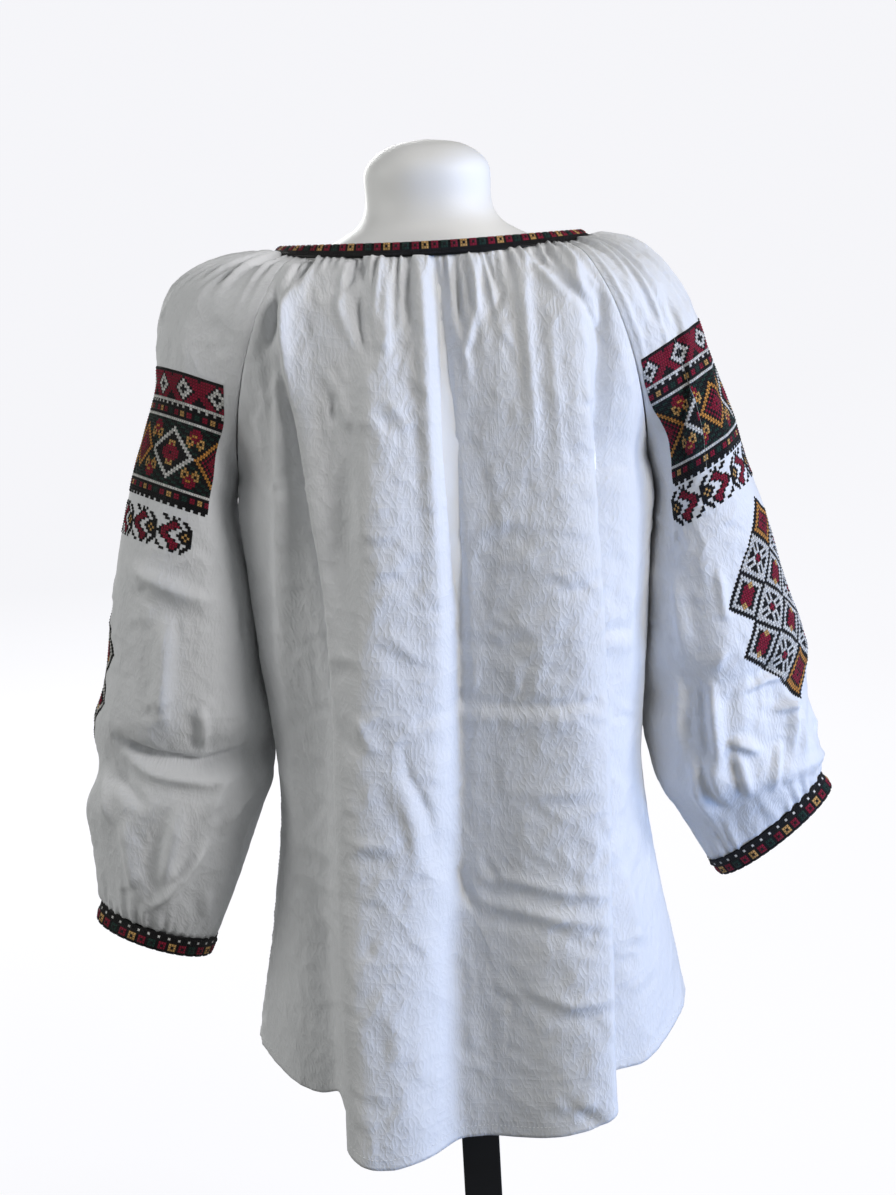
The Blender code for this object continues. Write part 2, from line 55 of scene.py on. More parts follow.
# %% [markdown]
# ## The sections of the blouse
#
# A dress form and the cloth on it change shape slowly from top to bottom. A short table of
# sections, read smoothly between its rows, describes that with few numbers, and a number can be
# changed without upsetting its neighbours. The sleeve's rows run from the neck band to the cuff,
# the body's from the neck band to the hem. x runs outwards from the middle, y towards the chest.

# %% Tables of sections
# outer: the ring's outermost point. seam: midway between the sleeve's two edges, which meet under
# the arm at row 7. wrap: degrees from the outer point to an edge. drops: how far the ring dips.
#  outer_x outer_z seam_x seam_z mid_y depth wrap front_drop back_drop
SHOULDER = (
    (0.1245, 0.8965, 0.1032, 0.8965, 0.0085, 0.0965, 34, 0.050, 0.006),
    (0.1500, 0.8955, 0.1130, 0.8895, 0.0075, 0.1070, 44, 0.028, 0.004),
    (0.1740, 0.8920, 0.1230, 0.8730, 0.0055, 0.1040, 55, 0.013, 0.002),
    (0.1950, 0.8830, 0.1335, 0.8490, 0.0030, 0.0970, 67, 0.005, 0.000),
    (0.2080, 0.8680, 0.1440, 0.8180, 0.0020, 0.0850, 80, 0.000, 0.000),
    (0.2140, 0.8480, 0.1520, 0.7840, 0.0010, 0.0725, 107, 0.000, 0.000),
    (0.2170, 0.8250, 0.1575, 0.7500, 0.0000, 0.0650, 140, 0.000, 0.000),
    (0.2200, 0.7990, 0.1610, 0.7200, 0.0000, 0.0640, 180, 0.000, 0.000),
)
UNDERARM_ROW = len(SHOULDER) - 1
# The wearer's right shoulder sits lower: outer_x and outer_z of the same rows.
LOW_SHOULDER = (
    (0.1245, 0.8965),
    (0.1480, 0.8925),
    (0.1680, 0.8830),
    (0.1845, 0.8680),
    (0.1955, 0.8500),
    (0.2030, 0.8320),
    (0.2100, 0.8090),
    (0.2190, 0.7830),
)
# Below the underarm a ring is closed: outer_x outer_z seam_x seam_z mid_y depth
LEFT_ARM = (
    (0.2320, 0.7650, 0.1650, 0.7030, 0.000, 0.0620),
    (0.2460, 0.7250, 0.1610, 0.6720, 0.000, 0.0610),
    (0.2595, 0.6720, 0.1565, 0.6320, 0.002, 0.0610),
    (0.2720, 0.6120, 0.1535, 0.5800, 0.004, 0.0630),
    (0.2840, 0.5520, 0.1510, 0.5350, 0.006, 0.0640),
    (0.2945, 0.5080, 0.1490, 0.5000, 0.008, 0.0590),
    (0.3015, 0.4650, 0.1590, 0.4655, 0.008, 0.0620),
    (0.3035, 0.4250, 0.1745, 0.4250, 0.008, 0.0560),
    (0.3020, 0.3940, 0.1945, 0.3770, 0.008, 0.0440),
    (0.2985, 0.3830, 0.2085, 0.3475, 0.008, 0.0350),
)
RIGHT_ARM = (
    (0.2280, 0.7570, 0.1650, 0.6970, 0.000, 0.0620),
    (0.2370, 0.7220, 0.1610, 0.6640, 0.000, 0.0610),
    (0.2520, 0.6770, 0.1560, 0.6250, 0.002, 0.0620),
    (0.2670, 0.6220, 0.1530, 0.5820, 0.005, 0.0640),
    (0.2810, 0.5600, 0.1510, 0.5380, 0.008, 0.0650),
    (0.2890, 0.5070, 0.1510, 0.5030, 0.010, 0.0640),
    (0.2910, 0.4820, 0.1590, 0.4700, 0.010, 0.0620),
    (0.2920, 0.4710, 0.1730, 0.4390, 0.010, 0.0560),
    (0.2925, 0.4630, 0.1870, 0.4130, 0.010, 0.0450),
    (0.2925, 0.4570, 0.2005, 0.3885, 0.010, 0.0350),
)
# The body above the underarm: back_y back_z front_y front_z at its middle, and the degrees that
# it turns from the middle to its edge.
YOKE = (
    (-0.0880, 0.8905, 0.1050, 0.8465, 56),
    (-0.0930, 0.8760, 0.1160, 0.8350, 52),
    (-0.1030, 0.8540, 0.1260, 0.8190, 48),
    (-0.1120, 0.8270, 0.1340, 0.8010, 47),
    (-0.1190, 0.7980, 0.1410, 0.7820, 50),
    (-0.1230, 0.7660, 0.1460, 0.7600, 57),
    (-0.1260, 0.7380, 0.1500, 0.7380, 68),
    (-0.1280, 0.7120, 0.1520, 0.7150, 90),
)
# And below it: side_x side_y side_z back_y back_z front_y front_z
BODY = (
    (0.1580, 0.000, 0.690, -0.1290, 0.683, 0.1520, 0.683),
    (0.1540, 0.000, 0.640, -0.1300, 0.634, 0.1470, 0.634),
    (0.1490, 0.000, 0.580, -0.1300, 0.575, 0.1410, 0.575),
    (0.1445, 0.000, 0.510, -0.1280, 0.505, 0.1380, 0.505),
    (0.1480, 0.000, 0.440, -0.1280, 0.434, 0.1380, 0.434),
    (0.1580, 0.000, 0.370, -0.1300, 0.362, 0.1420, 0.362),
    (0.1670, 0.000, 0.322, -0.1320, 0.287, 0.1480, 0.290),
    (0.1750, 0.000, 0.274, -0.1340, 0.213, 0.1530, 0.217),
)
HEM_LIFT = 0.008  # how far the hem's right end hangs above the middle, and its left end below


def sleeve_table(arm, outer=()):
    """All rows of one sleeve, with the same nine columns as SHOULDER."""
    top = [list(row) for row in SHOULDER]
    for row, point in zip(top, outer):
        row[:2] = point
    return top + [list(row) + [180, 0.0, 0.0] for row in arm]


LEFT_SLEEVE = sleeve_table(LEFT_ARM)
RIGHT_SLEEVE = sleeve_table(RIGHT_ARM, LOW_SHOULDER)
LAST_SLEEVE_ROW = len(LEFT_SLEEVE) - 1
LAST_BODY_ROW = len(YOKE) + len(BODY) - 1
print(f"{LAST_SLEEVE_ROW + 1} sections of a sleeve, {LAST_BODY_ROW + 1} of the body")

# %% [markdown]
# ## From sections to a surface
#
# A Catmull-Rom curve passes through every row of a table, so the surface keeps the sections as
# they are written. NumPy works on all points of a sheet in one go, which lets a sheet have tens
# of thousands of points and still be made in a moment.

# %% Reading the tables
def between(rows, at):
    """A table read smoothly between its rows: 2.5 is halfway from row 2 to row 3."""
    rows = np.asarray(rows, float)
    at = np.asarray(at, float)
    last = len(rows) - 1
    i = np.clip(at.astype(int), 0, last - 1)
    f = (at - i)[..., None]
    a, b, c, d = (rows[np.clip(k, 0, last)] for k in (i - 1, i, i + 1, i + 2))
    bend = (2 * a - 5 * b + 4 * c - d) * f**2 + (3 * b - a - 3 * c + d) * f**3
    return 0.5 * (2 * b + (c - a) * f + bend)


def ramp(value, start, end):
    """0 before start, 1 after end, and smooth in between."""
    t = np.clip((np.asarray(value, float) - start) / (end - start), 0.0, 1.0)
    return t * t * (3 - 2 * t)


def hump(distance, reach):
    return np.exp(-((distance / reach) ** 2))


def sleeve_surface(table, row, turn):
    """The sleeve without folds. turn is -1 at the back edge and 1 at the front edge."""
    columns = np.moveaxis(between(table, row), -1, 0)
    outer_x, outer_z, seam_x, seam_z, mid_y, depth, wrap, front_drop, back_drop = columns
    full = np.radians(np.minimum(wrap, 180.0))
    angle = turn * full
    share = (np.cos(angle) - np.cos(full)) / (1 - np.cos(full))
    drop = np.where(turn > 0, front_drop, back_drop) * np.sin(angle) ** 2
    x = seam_x + (outer_x - seam_x) * share
    z = seam_z + (outer_z - seam_z) * share - drop
    return np.stack(np.broadcast_arrays(x, mid_y + depth * np.sin(angle), z), axis=-1)


def body_edge(side, row):
    """Where a body panel's edge lies: along the sleeve, then from the underarm down the side."""
    seam_x, seam_z, mid_y, depth, wrap, front_drop, back_drop = np.moveaxis(
        between(SHOULDER, np.minimum(row, UNDERARM_ROW)), -1, 0
    )[2:]
    full = np.radians(wrap)
    drop = front_drop if side > 0 else back_drop
    above = (seam_x, mid_y + side * depth * np.sin(full), seam_z - drop * np.sin(full) ** 2)
    underarm = (SHOULDER[-1][2], 0.0, SHOULDER[-1][3])
    rows = [underarm] + [row_[:3] for row_ in BODY]
    below = np.moveaxis(between(rows, np.maximum(row - UNDERARM_ROW, 0)), -1, 0)
    return [np.where(row <= UNDERARM_ROW, a, b) for a, b in zip(above, below)]


def body_surface(side, row, across):
    """A body panel without folds. side is -1 for the back and 1 for the front."""
    edge_x, edge_y, edge_z = body_edge(side, row)
    first = 2 if side > 0 else 0
    middle = [(r[first], r[first + 1], r[4]) for r in YOKE]
    middle += [(r[first + 3], r[first + 4], 90) for r in BODY]
    mid_y, mid_z, turn = np.moveaxis(between(middle, row), -1, 0)
    full = np.radians(np.minimum(turn, 90.0))
    angle = across * full
    share = (np.cos(angle) - np.cos(full)) / (1 - np.cos(full))
    dip = (np.cos(angle) ** 2 - np.cos(full) ** 2) / (1 - np.cos(full) ** 2)
    sideways = np.sin(angle) / np.sin(full)
    lift = HEM_LIFT * sideways * ramp(row, UNDERARM_ROW + 1, LAST_BODY_ROW)
    y = edge_y + (mid_y - edge_y) * share
    return np.stack((edge_x * sideways, y, edge_z + (mid_z - edge_z) * dip + lift), axis=-1)


def even_rows(surface_line, last_row, steps, extra_at_end=()):
    """Row numbers that lie evenly along a line of the surface, with a few more close to its end."""
    dense = np.linspace(0, last_row, 2000)
    points = surface_line(dense)
    length = np.concatenate(([0], np.cumsum(np.linalg.norm(np.diff(points, axis=0), axis=1))))
    wanted = np.linspace(0, length[-1], steps + 1)
    for distance in extra_at_end:
        nearest = np.argmin(abs(wanted - (length[-1] - distance)))
        wanted[nearest] = length[-1] - distance
    return np.interp(wanted, length, dense)


neck_side = sleeve_surface(LEFT_SLEEVE, 0.0, 0.0)
print(f"the sleeve starts {neck_side[0]:.4f} m beside the middle, at a height of {neck_side[2]:.4f} m")

# %% [markdown]
# ## Ways to fold a surface
#
# A fold in hanging cloth has a crest and, beside it, the hollow that it drew its cloth from. So
# each fold here is a soft ridge along a drawn line with a shallow trough on one side. Its height
# fades to nothing at its ends. Uneven hills of random noise, stretched along the threads, give
# the crinkle that cotton keeps after a wash. All of it is seeded, so every run is the same.

# %% Folds, gathers and crinkles
def along_line(x, z, points):
    """For each place on the cloth: how far along a drawn line it lies (0 to 1), and its distance
    to one side. The distance is positive on the left of a line that runs down, and below one that
    runs to the right."""
    points = np.asarray(points, float)
    steps = np.diff(points, axis=0)
    lengths = np.linalg.norm(steps, axis=1)
    starts = np.concatenate(([0], np.cumsum(lengths)))
    nearest = np.full(np.shape(x), 9.9)
    side, place = nearest.copy(), np.zeros(np.shape(x))
    for point, step, length, start in zip(points, steps, lengths, starts):
        dx, dz = x - point[0], z - point[1]
        t = np.clip((dx * step[0] + dz * step[1]) / length**2, 0, 1)
        gap = np.hypot(dx - t * step[0], dz - t * step[1])
        closer = gap < nearest
        nearest = np.where(closer, gap, nearest)
        side = np.where(closer, np.copysign(gap, dx * step[1] - dz * step[0]), side)
        place = np.where(closer, (start + t * length) / starts[-1], place)
    return place, side


def drawn_fold(x, z, points, height, left, right, open_start=False):
    """A fold along a drawn line. left and right are how far its two flanks reach."""
    place, side = along_line(x, z, points)
    rise = 1.0 if open_start else ramp(place, 0.0, 0.3)
    fall = 1 - ramp(place, 0.6, 1.0)
    reach = np.where(side > 0, left, right)
    trough = hump(side + 2.2 * right, 1.5 * right) * 0.22
    return height * rise * fall * (hump(side, reach) - trough)


def pressed_crease(x, z, points, height, width=0.0040):
    """A sharp narrow crease, such as cloth keeps from being folded away."""
    place, side = along_line(x, z, points)
    ends = np.clip(4 * place * (1 - place), 0, 1) ** 0.6
    crest = np.exp(-np.hypot(side, 0.3 * width) / width)
    return height * ends * (crest - 0.6 * hump(side - 2.6 * width, 1.8 * width))


def hills(u, v, across, along, seed):
    """Smooth random hills from -1 to 1 over the cloth, each about as wide and long as given."""
    rng = np.random.default_rng(seed)
    angle = rng.uniform(0, math.tau, (64, 64))
    x, y = u / across + 31.3, v / along + 17.7
    i, j = np.floor(x).astype(int), np.floor(y).astype(int)
    fx, fy = x - i, y - j
    total = 0.0
    for a in (0, 1):
        for b in (0, 1):
            turn = angle[(i + a) % 64, (j + b) % 64]
            slope = np.cos(turn) * (fx - a) + np.sin(turn) * (fy - b)
            near_x = fx if a else 1 - fx
            near_y = fy if b else 1 - fy
            total = total + slope * near_x**2 * (3 - 2 * near_x) * near_y**2 * (3 - 2 * near_y)
    return total * 1.5


def crumple(u, v, seed):
    """What washed and folded cotton keeps: soft dents, sharp little ridges and fine crinkles."""
    bend_u = u + 0.010 * hills(u, v, 0.05, 0.07, seed)
    bend_v = v + 0.012 * hills(u, v, 0.06, 0.05, seed + 1)
    dents = 0.0017 * hills(bend_u, bend_v, 0.050, 0.085, seed + 2)
    ridges = 0.0019 * (0.35 - abs(hills(bend_u, bend_v, 0.024, 0.038, seed + 3)))
    patches = ramp(hills(u, v, 0.09, 0.11, seed + 4), -0.35, 0.45)
    crinkle = 0.00036 * hills(bend_u, v, 0.0085, 0.026, seed + 5)
    slanted = (bend_u + 0.6 * bend_v, bend_v - 0.6 * bend_u)
    crinkle += 0.0010 * (0.35 - abs(hills(*slanted, 0.0125, 0.019, seed + 6)))
    return dents + ridges * patches + crinkle * (0.5 + 0.8 * patches)


def gathers(across, down, count, seed, height, shortest, longest, spread=0.9):
    """A row of small pleats that start full at a band and die out unevenly below it."""
    rng = np.random.default_rng(seed)
    total = np.zeros(np.shape(down))
    for i in range(count):
        centre = -1 + (2 * i + 1 + rng.uniform(-0.55, 0.55)) / count
        length = shortest + (longest - shortest) * rng.uniform(0, 1) ** 2.2
        lean = rng.uniform(-0.6, 0.6) / count
        width = rng.uniform(0.42, 0.80) / count
        tall = height * rng.uniform(0.55, 1.25)
        t = np.clip(down / length, 0, 1)
        size = ramp(t, -0.12, 0.10) * (1 - ramp(t, 0.25, 1.0))
        side = across - centre - lean * t
        reach = width * (1 + spread * t) * np.where(side > 0, 1.0, 0.7)
        total += tall * size * (hump(side, reach) - 0.5 * hump(side, 2 * reach))
    return total


def cloth_lengths(points):
    """How far each point lies across and down the cloth, measured on the cloth in metres."""
    step_across = np.linalg.norm(np.diff(points, axis=1), axis=2)
    step_down = np.linalg.norm(np.diff(points, axis=0), axis=2)
    u = np.pad(np.cumsum(step_across, axis=1), ((0, 0), (1, 0)))
    v = np.pad(np.cumsum(step_down, axis=0), ((1, 0), (0, 0)))
    return u - u[:, -1:] / 2, v


def outward(points, away_from):
    """Unit normals of a grid of points, on the side away from the given point of each row."""
    normal = np.cross(np.gradient(points, axis=1), np.gradient(points, axis=0))
    normal /= np.linalg.norm(normal, axis=2, keepdims=True) + 1e-12
    facing = (normal * (points - away_from)).sum()
    return normal if facing > 0 else -normal


def seam_groove(u, depth=0.0011, reach=0.0035):
    """Both edges of a panel turn in a little, as they do at a sewn seam, and pucker beside it."""
    edge = u[:, -1:] - abs(u)
    return -depth * np.clip(1 - edge / reach, 0, 1) ** 2, edge


# %% [markdown]
# ## A sheet of cloth as a mesh
#
# One bmesh grid becomes any panel: its points are moved to the folded surface, and Solidify gives
# it the thickness of cotton on the inside, so the outer face stays exactly where it was put. The
# grid carries a UV map in metres along the threads, and the weave follows that.

# %% Making a sheet
CLOTH_THICK = 0.0009


def sheet_mesh(name, points, uv=None, weld_round=False):
    """A grid of points as a mesh, with its faces turned the way outward() turns normals."""
    rows, columns = points.shape[:2]
    bm = bmesh.new()
    bmesh.ops.create_grid(bm, x_segments=columns - 1, y_segments=rows - 1, size=0.5)
    mesh = bpy.data.meshes.new(name)
    bm.to_mesh(mesh)
    bm.free()
    mesh.vertices.foreach_set("co", np.ascontiguousarray(points, np.float32).reshape(-1))
    if uv is not None:
        corner = np.empty(len(mesh.loops), np.int32)
        mesh.loops.foreach_get("vertex_index", corner)
        layer = mesh.uv_layers.new(name="cloth")
        flat = np.asarray(uv, np.float32).reshape(-1, 2)[corner]
        layer.uv.foreach_set("vector", flat.reshape(-1))
    if weld_round:
        bm = bmesh.new()
        bm.from_mesh(mesh)
        bmesh.ops.remove_doubles(bm, verts=bm.verts, dist=1e-6)
        bm.to_mesh(mesh)
        bm.free()
    return mesh


def finished(name, mesh, *materials):
    """An object with smooth shading, at the origin, that rides on the root body."""
    obj = bpy.data.objects.new(name, mesh)
    bpy.context.scene.collection.objects.link(obj)
    for material in materials:
        mesh.materials.append(material)
    mesh.shade_smooth()
    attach(obj, "root")
    return obj


def face_out(mesh, centre):
    """Turns a mesh's faces round if they point towards the given centre."""
    centres = np.empty(len(mesh.polygons) * 3, np.float32)
    normals = centres.copy()
    mesh.polygons.foreach_get("center", centres)
    mesh.polygons.foreach_get("normal", normals)
    away = centres.reshape(-1, 3) - np.asarray(centre, np.float32)
    if (away * normals.reshape(-1, 3)).sum() < 0:
        mesh.flip_normals()


def cloth_piece(name, points, uv, centre, material):
    """A sheet with its wall on the inside. centre is a point that its outer face turns away from."""
    mesh = sheet_mesh(name, points, uv)
    face_out(mesh, centre)
    obj = finished(name, mesh, material)
    wall = obj.modifiers.new("cloth wall", "SOLIDIFY")
    wall.thickness = CLOTH_THICK
    wall.offset = -1.0
    return obj


def flat_area(points):
    """The area of a grid of points in square metres."""
    side_a = points[1:, 1:] - points[:-1, :-1]
    side_b = points[1:, :-1] - points[:-1, 1:]
    return 0.5 * np.linalg.norm(np.cross(side_a, side_b), axis=2).sum()


# %% [markdown]
# ## White cotton
#
# Hand-woven cotton is matt and slightly uneven. Its threads show as a fine grid when one is
# close, and thicker threads wander through it. A wave texture for each thread direction, and
# noise that is stretched along the threads, drive the bump. A little sheen stands for the short
# fibres that catch light along the edge of a fold.

# %% The cotton's material
def new_material(name):
    material = bpy.data.materials.new(name)
    material.use_nodes = True
    nodes = material.node_tree.nodes
    return material, nodes, material.node_tree.links, nodes["Principled BSDF"]


def node(nodes, kind, **settings):
    made = nodes.new(kind)
    for key, value in settings.items():
        if key in made.inputs:
            made.inputs[key].default_value = value
        else:
            setattr(made, key, value)
    return made


def mapped(nodes, links, scale, source="UV"):
    """Coordinates for a texture: the cloth's own map in metres, or the object's."""
    coordinates = nodes.new("ShaderNodeTexCoord")
    mapping = nodes.new("ShaderNodeMapping")
    mapping.inputs["Scale"].default_value = scale
    links.new(coordinates.outputs[source], mapping.inputs["Vector"])
    return mapping.outputs["Vector"]


def cotton_material(name, colour):
    material, nodes, links, surface = new_material(name)
    surface.inputs["Roughness"].default_value = 0.86
    surface.inputs["Sheen Weight"].default_value = 0.25
    surface.inputs["Sheen Roughness"].default_value = 0.5
    surface.inputs["Specular IOR Level"].default_value = 0.25
    # uneven threads tint the cloth a little
    slub = node(nodes, "ShaderNodeTexNoise", Scale=1.0, Detail=3.0, Roughness=0.6)
    links.new(mapped(nodes, links, (700, 60, 1)), slub.inputs["Vector"])
    tint = node(nodes, "ShaderNodeMix", data_type="RGBA")
    tint.inputs["A"].default_value = (*[c * 0.95 for c in colour], 1)
    tint.inputs["B"].default_value = (*colour, 1)
    links.new(slub.outputs["Fac"], tint.inputs["Factor"])
    links.new(tint.outputs["Result"], surface.inputs["Base Color"])
    # the weave: one wave for each thread direction
    warp = node(nodes, "ShaderNodeTexWave", Scale=1.0, Distortion=1.5, bands_direction="X")
    weft = node(nodes, "ShaderNodeTexWave", Scale=1.0, Distortion=1.5, bands_direction="Y")
    for wave in (warp, weft):
        links.new(mapped(nodes, links, (700, 700, 1)), wave.inputs["Vector"])
    weave = node(nodes, "ShaderNodeMath", operation="ADD")
    links.new(warp.outputs["Fac"], weave.inputs[0])
    links.new(weft.outputs["Fac"], weave.inputs[1])
    relief = node(nodes, "ShaderNodeBump", Strength=0.35, Distance=0.00012)
    links.new(weave.outputs["Value"], relief.inputs["Height"])
    # washed cotton keeps sharp creases of every size, and fine crinkles that run down the cloth
    for scale, depth in (((330, 150, 1), 0.00026), ((80, 60, 1), 0.00034), ((22, 16, 1), 0.00110)):
        crinkle = node(
            nodes, "ShaderNodeTexNoise", noise_type="RIDGED_MULTIFRACTAL", normalize=False,
            Scale=1.0, Detail=3.0, Roughness=0.5, Offset=0.8, Gain=1.4,
        )
        links.new(mapped(nodes, links, scale), crinkle.inputs["Vector"])
        layer = node(nodes, "ShaderNodeBump", Strength=1.0, Distance=depth)
        links.new(crinkle.outputs["Fac"], layer.inputs["Height"])
        links.new(relief.outputs["Normal"], layer.inputs["Normal"])
        relief = layer
    links.new(relief.outputs["Normal"], surface.inputs["Normal"])
    return material


white_cotton = cotton_material("white_cotton_cloth", (0.80, 0.81, 0.83))

# %% [markdown]
# ## The back
#
# The back is one straight piece, gathered at the neck. Its own weight pulls the gathers into a
# few long folds that run to the hem, and these are what one sees first. They are drawn one by
# one below: where each crest lies at five heights, and how far it stands out there.
# Shorter folds fan out from the band towards the shoulders, and sharp creases from storage cross
# the lower half.

# %% The back's long folds
FOLD_LEVELS = (0.86, 0.74, 0.60, 0.42, 0.22)  # the heights at which a long fold is described
# x at those heights; how far it stands out there, below 0 for a hollow; and how far it reaches to
# its left and to its right, at the top and at the hem.
BACK_FOLDS = (
    ((-0.115, -0.120, -0.130, -0.130, -0.130), (0.004, 0.007, 0.005, 0.002, 0.000),
     (0.005, 0.008), (0.008, 0.008)),
    ((-0.120, -0.110, -0.105, -0.115, -0.120), (-0.002, -0.004, -0.006, -0.009, -0.015),
     (0.010, 0.020), (0.008, 0.016)),
    ((-0.112, -0.100, -0.086, -0.086, -0.090), (0.005, 0.009, 0.011, 0.011, 0.014),
     (0.004, 0.006), (0.015, 0.018)),
    ((-0.047, -0.049, -0.058, -0.066, -0.068), (0.006, 0.015, 0.021, 0.027, 0.034),
     (0.012, 0.028), (0.022, 0.046)),
    ((-0.008, -0.006, -0.004, -0.010, -0.020), (0.007, 0.006, 0.002, 0.000, 0.000),
     (0.007, 0.012), (0.005, 0.008)),
    ((0.004, 0.004, 0.005, -0.006, -0.016), (-0.007, -0.014, -0.019, -0.020, -0.022),
     (0.004, 0.018), (0.030, 0.064)),
    ((0.104, 0.101, 0.098, 0.093, 0.090), (0.006, 0.016, 0.023, 0.027, 0.033),
     (0.030, 0.054), (0.007, 0.012)),
    ((0.124, 0.118, 0.114, 0.112, 0.112), (-0.003, -0.007, -0.009, -0.008, -0.012),
     (0.006, 0.008), (0.008, 0.018)),
    ((0.140, 0.140, 0.135, 0.125, 0.130), (0.001, 0.004, 0.004, 0.002, 0.000),
     (0.010, 0.014), (0.005, 0.008)),
    # a narrow sharp hollow where each of the three main folds ends
    ((0.005, 0.005, 0.006, -0.005, -0.015), (-0.007, -0.010, -0.008, -0.004, -0.003),
     (0.007, 0.012), (0.004, 0.008)),
    ((0.124, 0.118, 0.115, 0.113, 0.111), (-0.003, -0.005, -0.004, -0.003, -0.001),
     (0.005, 0.006), (0.003, 0.005)),
    ((-0.117, -0.105, -0.091, -0.090, -0.095), (-0.004, -0.007, -0.007, -0.004, -0.003),
     (0.006, 0.008), (0.003, 0.003)),
)


def long_folds(folds, x, z):
    """The sum of the long folds. They are almost gone where the band draws the cloth up."""
    down = -np.array(FOLD_LEVELS)
    level = np.interp(-z, down, range(len(down)))
    lower = level / (len(down) - 1)
    out = np.zeros(x.shape)
    for places, sizes, left, right in folds:
        place, size = np.moveaxis(between(np.column_stack((places, sizes)), level), -1, 0)
        reach_left = left[0] + (left[1] - left[0]) * lower
        reach_right = right[0] + (right[1] - right[0]) * lower
        side = x - place
        out += size * hump(side, np.where(side < 0, reach_left, reach_right))
    return out * (1 - 0.8 * ramp(z, 0.870, 0.892))


# Shorter folds that fan out from the neck: their line, height (below 0 for a hollow), and reach
# to the left and right of a line that runs down.
BACK_FAN = (
    (((-0.135, 0.885), (-0.135, 0.860), (-0.140, 0.840)), -0.0030, 0.005, 0.003),
    (((-0.100, 0.885), (-0.120, 0.850), (-0.130, 0.810)), -0.0032, 0.007, 0.003),
    (((-0.090, 0.890), (-0.115, 0.860), (-0.120, 0.825)), -0.0030, 0.007, 0.003),
    (((-0.105, 0.885), (-0.110, 0.850), (-0.110, 0.780)), 0.0034, 0.004, 0.006),
    (((-0.055, 0.885), (-0.065, 0.870), (-0.080, 0.860)), -0.0022, 0.004, 0.003),
    (((-0.065, 0.885), (-0.070, 0.855), (-0.055, 0.815)), 0.0026, 0.004, 0.005),
    (((-0.055, 0.870), (-0.055, 0.840), (-0.050, 0.815)), -0.0024, 0.005, 0.002),
    (((-0.050, 0.885), (-0.050, 0.850), (-0.045, 0.800)), -0.0034, 0.011, 0.004),
    (((-0.035, 0.885), (-0.035, 0.855), (-0.035, 0.810)), 0.0026, 0.005, 0.004),
    (((-0.015, 0.885), (-0.020, 0.860), (-0.020, 0.830)), -0.0024, 0.005, 0.003),
    (((-0.095, 0.820), (-0.080, 0.790), (-0.085, 0.720)), -0.0020, 0.012, 0.004),
    (((0.020, 0.885), (0.018, 0.860), (0.015, 0.835)), -0.0030, 0.005, 0.003),
    (((0.033, 0.885), (0.030, 0.850), (0.020, 0.820), (0.025, 0.790)), 0.0030, 0.004, 0.003),
    (((0.045, 0.885), (0.050, 0.860), (0.035, 0.830)), -0.0026, 0.006, 0.003),
    (((0.055, 0.885), (0.058, 0.850), (0.062, 0.760)), -0.0020, 0.006, 0.004),
    (((0.066, 0.885), (0.066, 0.850), (0.065, 0.720)), 0.0024, 0.006, 0.004),
    (((0.085, 0.855), (0.082, 0.800), (0.080, 0.700)), 0.0014, 0.004, 0.003),
    (((0.075, 0.888), (0.100, 0.860), (0.125, 0.840)), -0.0028, 0.004, 0.003),
    (((0.085, 0.888), (0.105, 0.855), (0.120, 0.830), (0.128, 0.805)), -0.0030, 0.004, 0.003),
    (((0.070, 0.885), (0.085, 0.865), (0.100, 0.850)), 0.0022, 0.003, 0.003),
    (((0.095, 0.888), (0.118, 0.865), (0.140, 0.845)), 0.0026, 0.003, 0.003),
    (((-0.050, 0.560), (-0.045, 0.500), (-0.035, 0.430)), -0.0026, 0.009, 0.005),
    (((-0.010, 0.450), (0.005, 0.390), (0.000, 0.320)), -0.0022, 0.009, 0.007),
    (((0.055, 0.255), (0.070, 0.240), (0.090, 0.222)), -0.0026, 0.004, 0.004),
    (((0.125, 0.420), (0.130, 0.370), (0.140, 0.320)), 0.0028, 0.006, 0.004),
    (((0.110, 0.370), (0.115, 0.320), (0.110, 0.260)), -0.0026, 0.006, 0.006),
    (((-0.130, 0.440), (-0.120, 0.370), (-0.125, 0.310)), -0.0022, 0.007, 0.006),
)
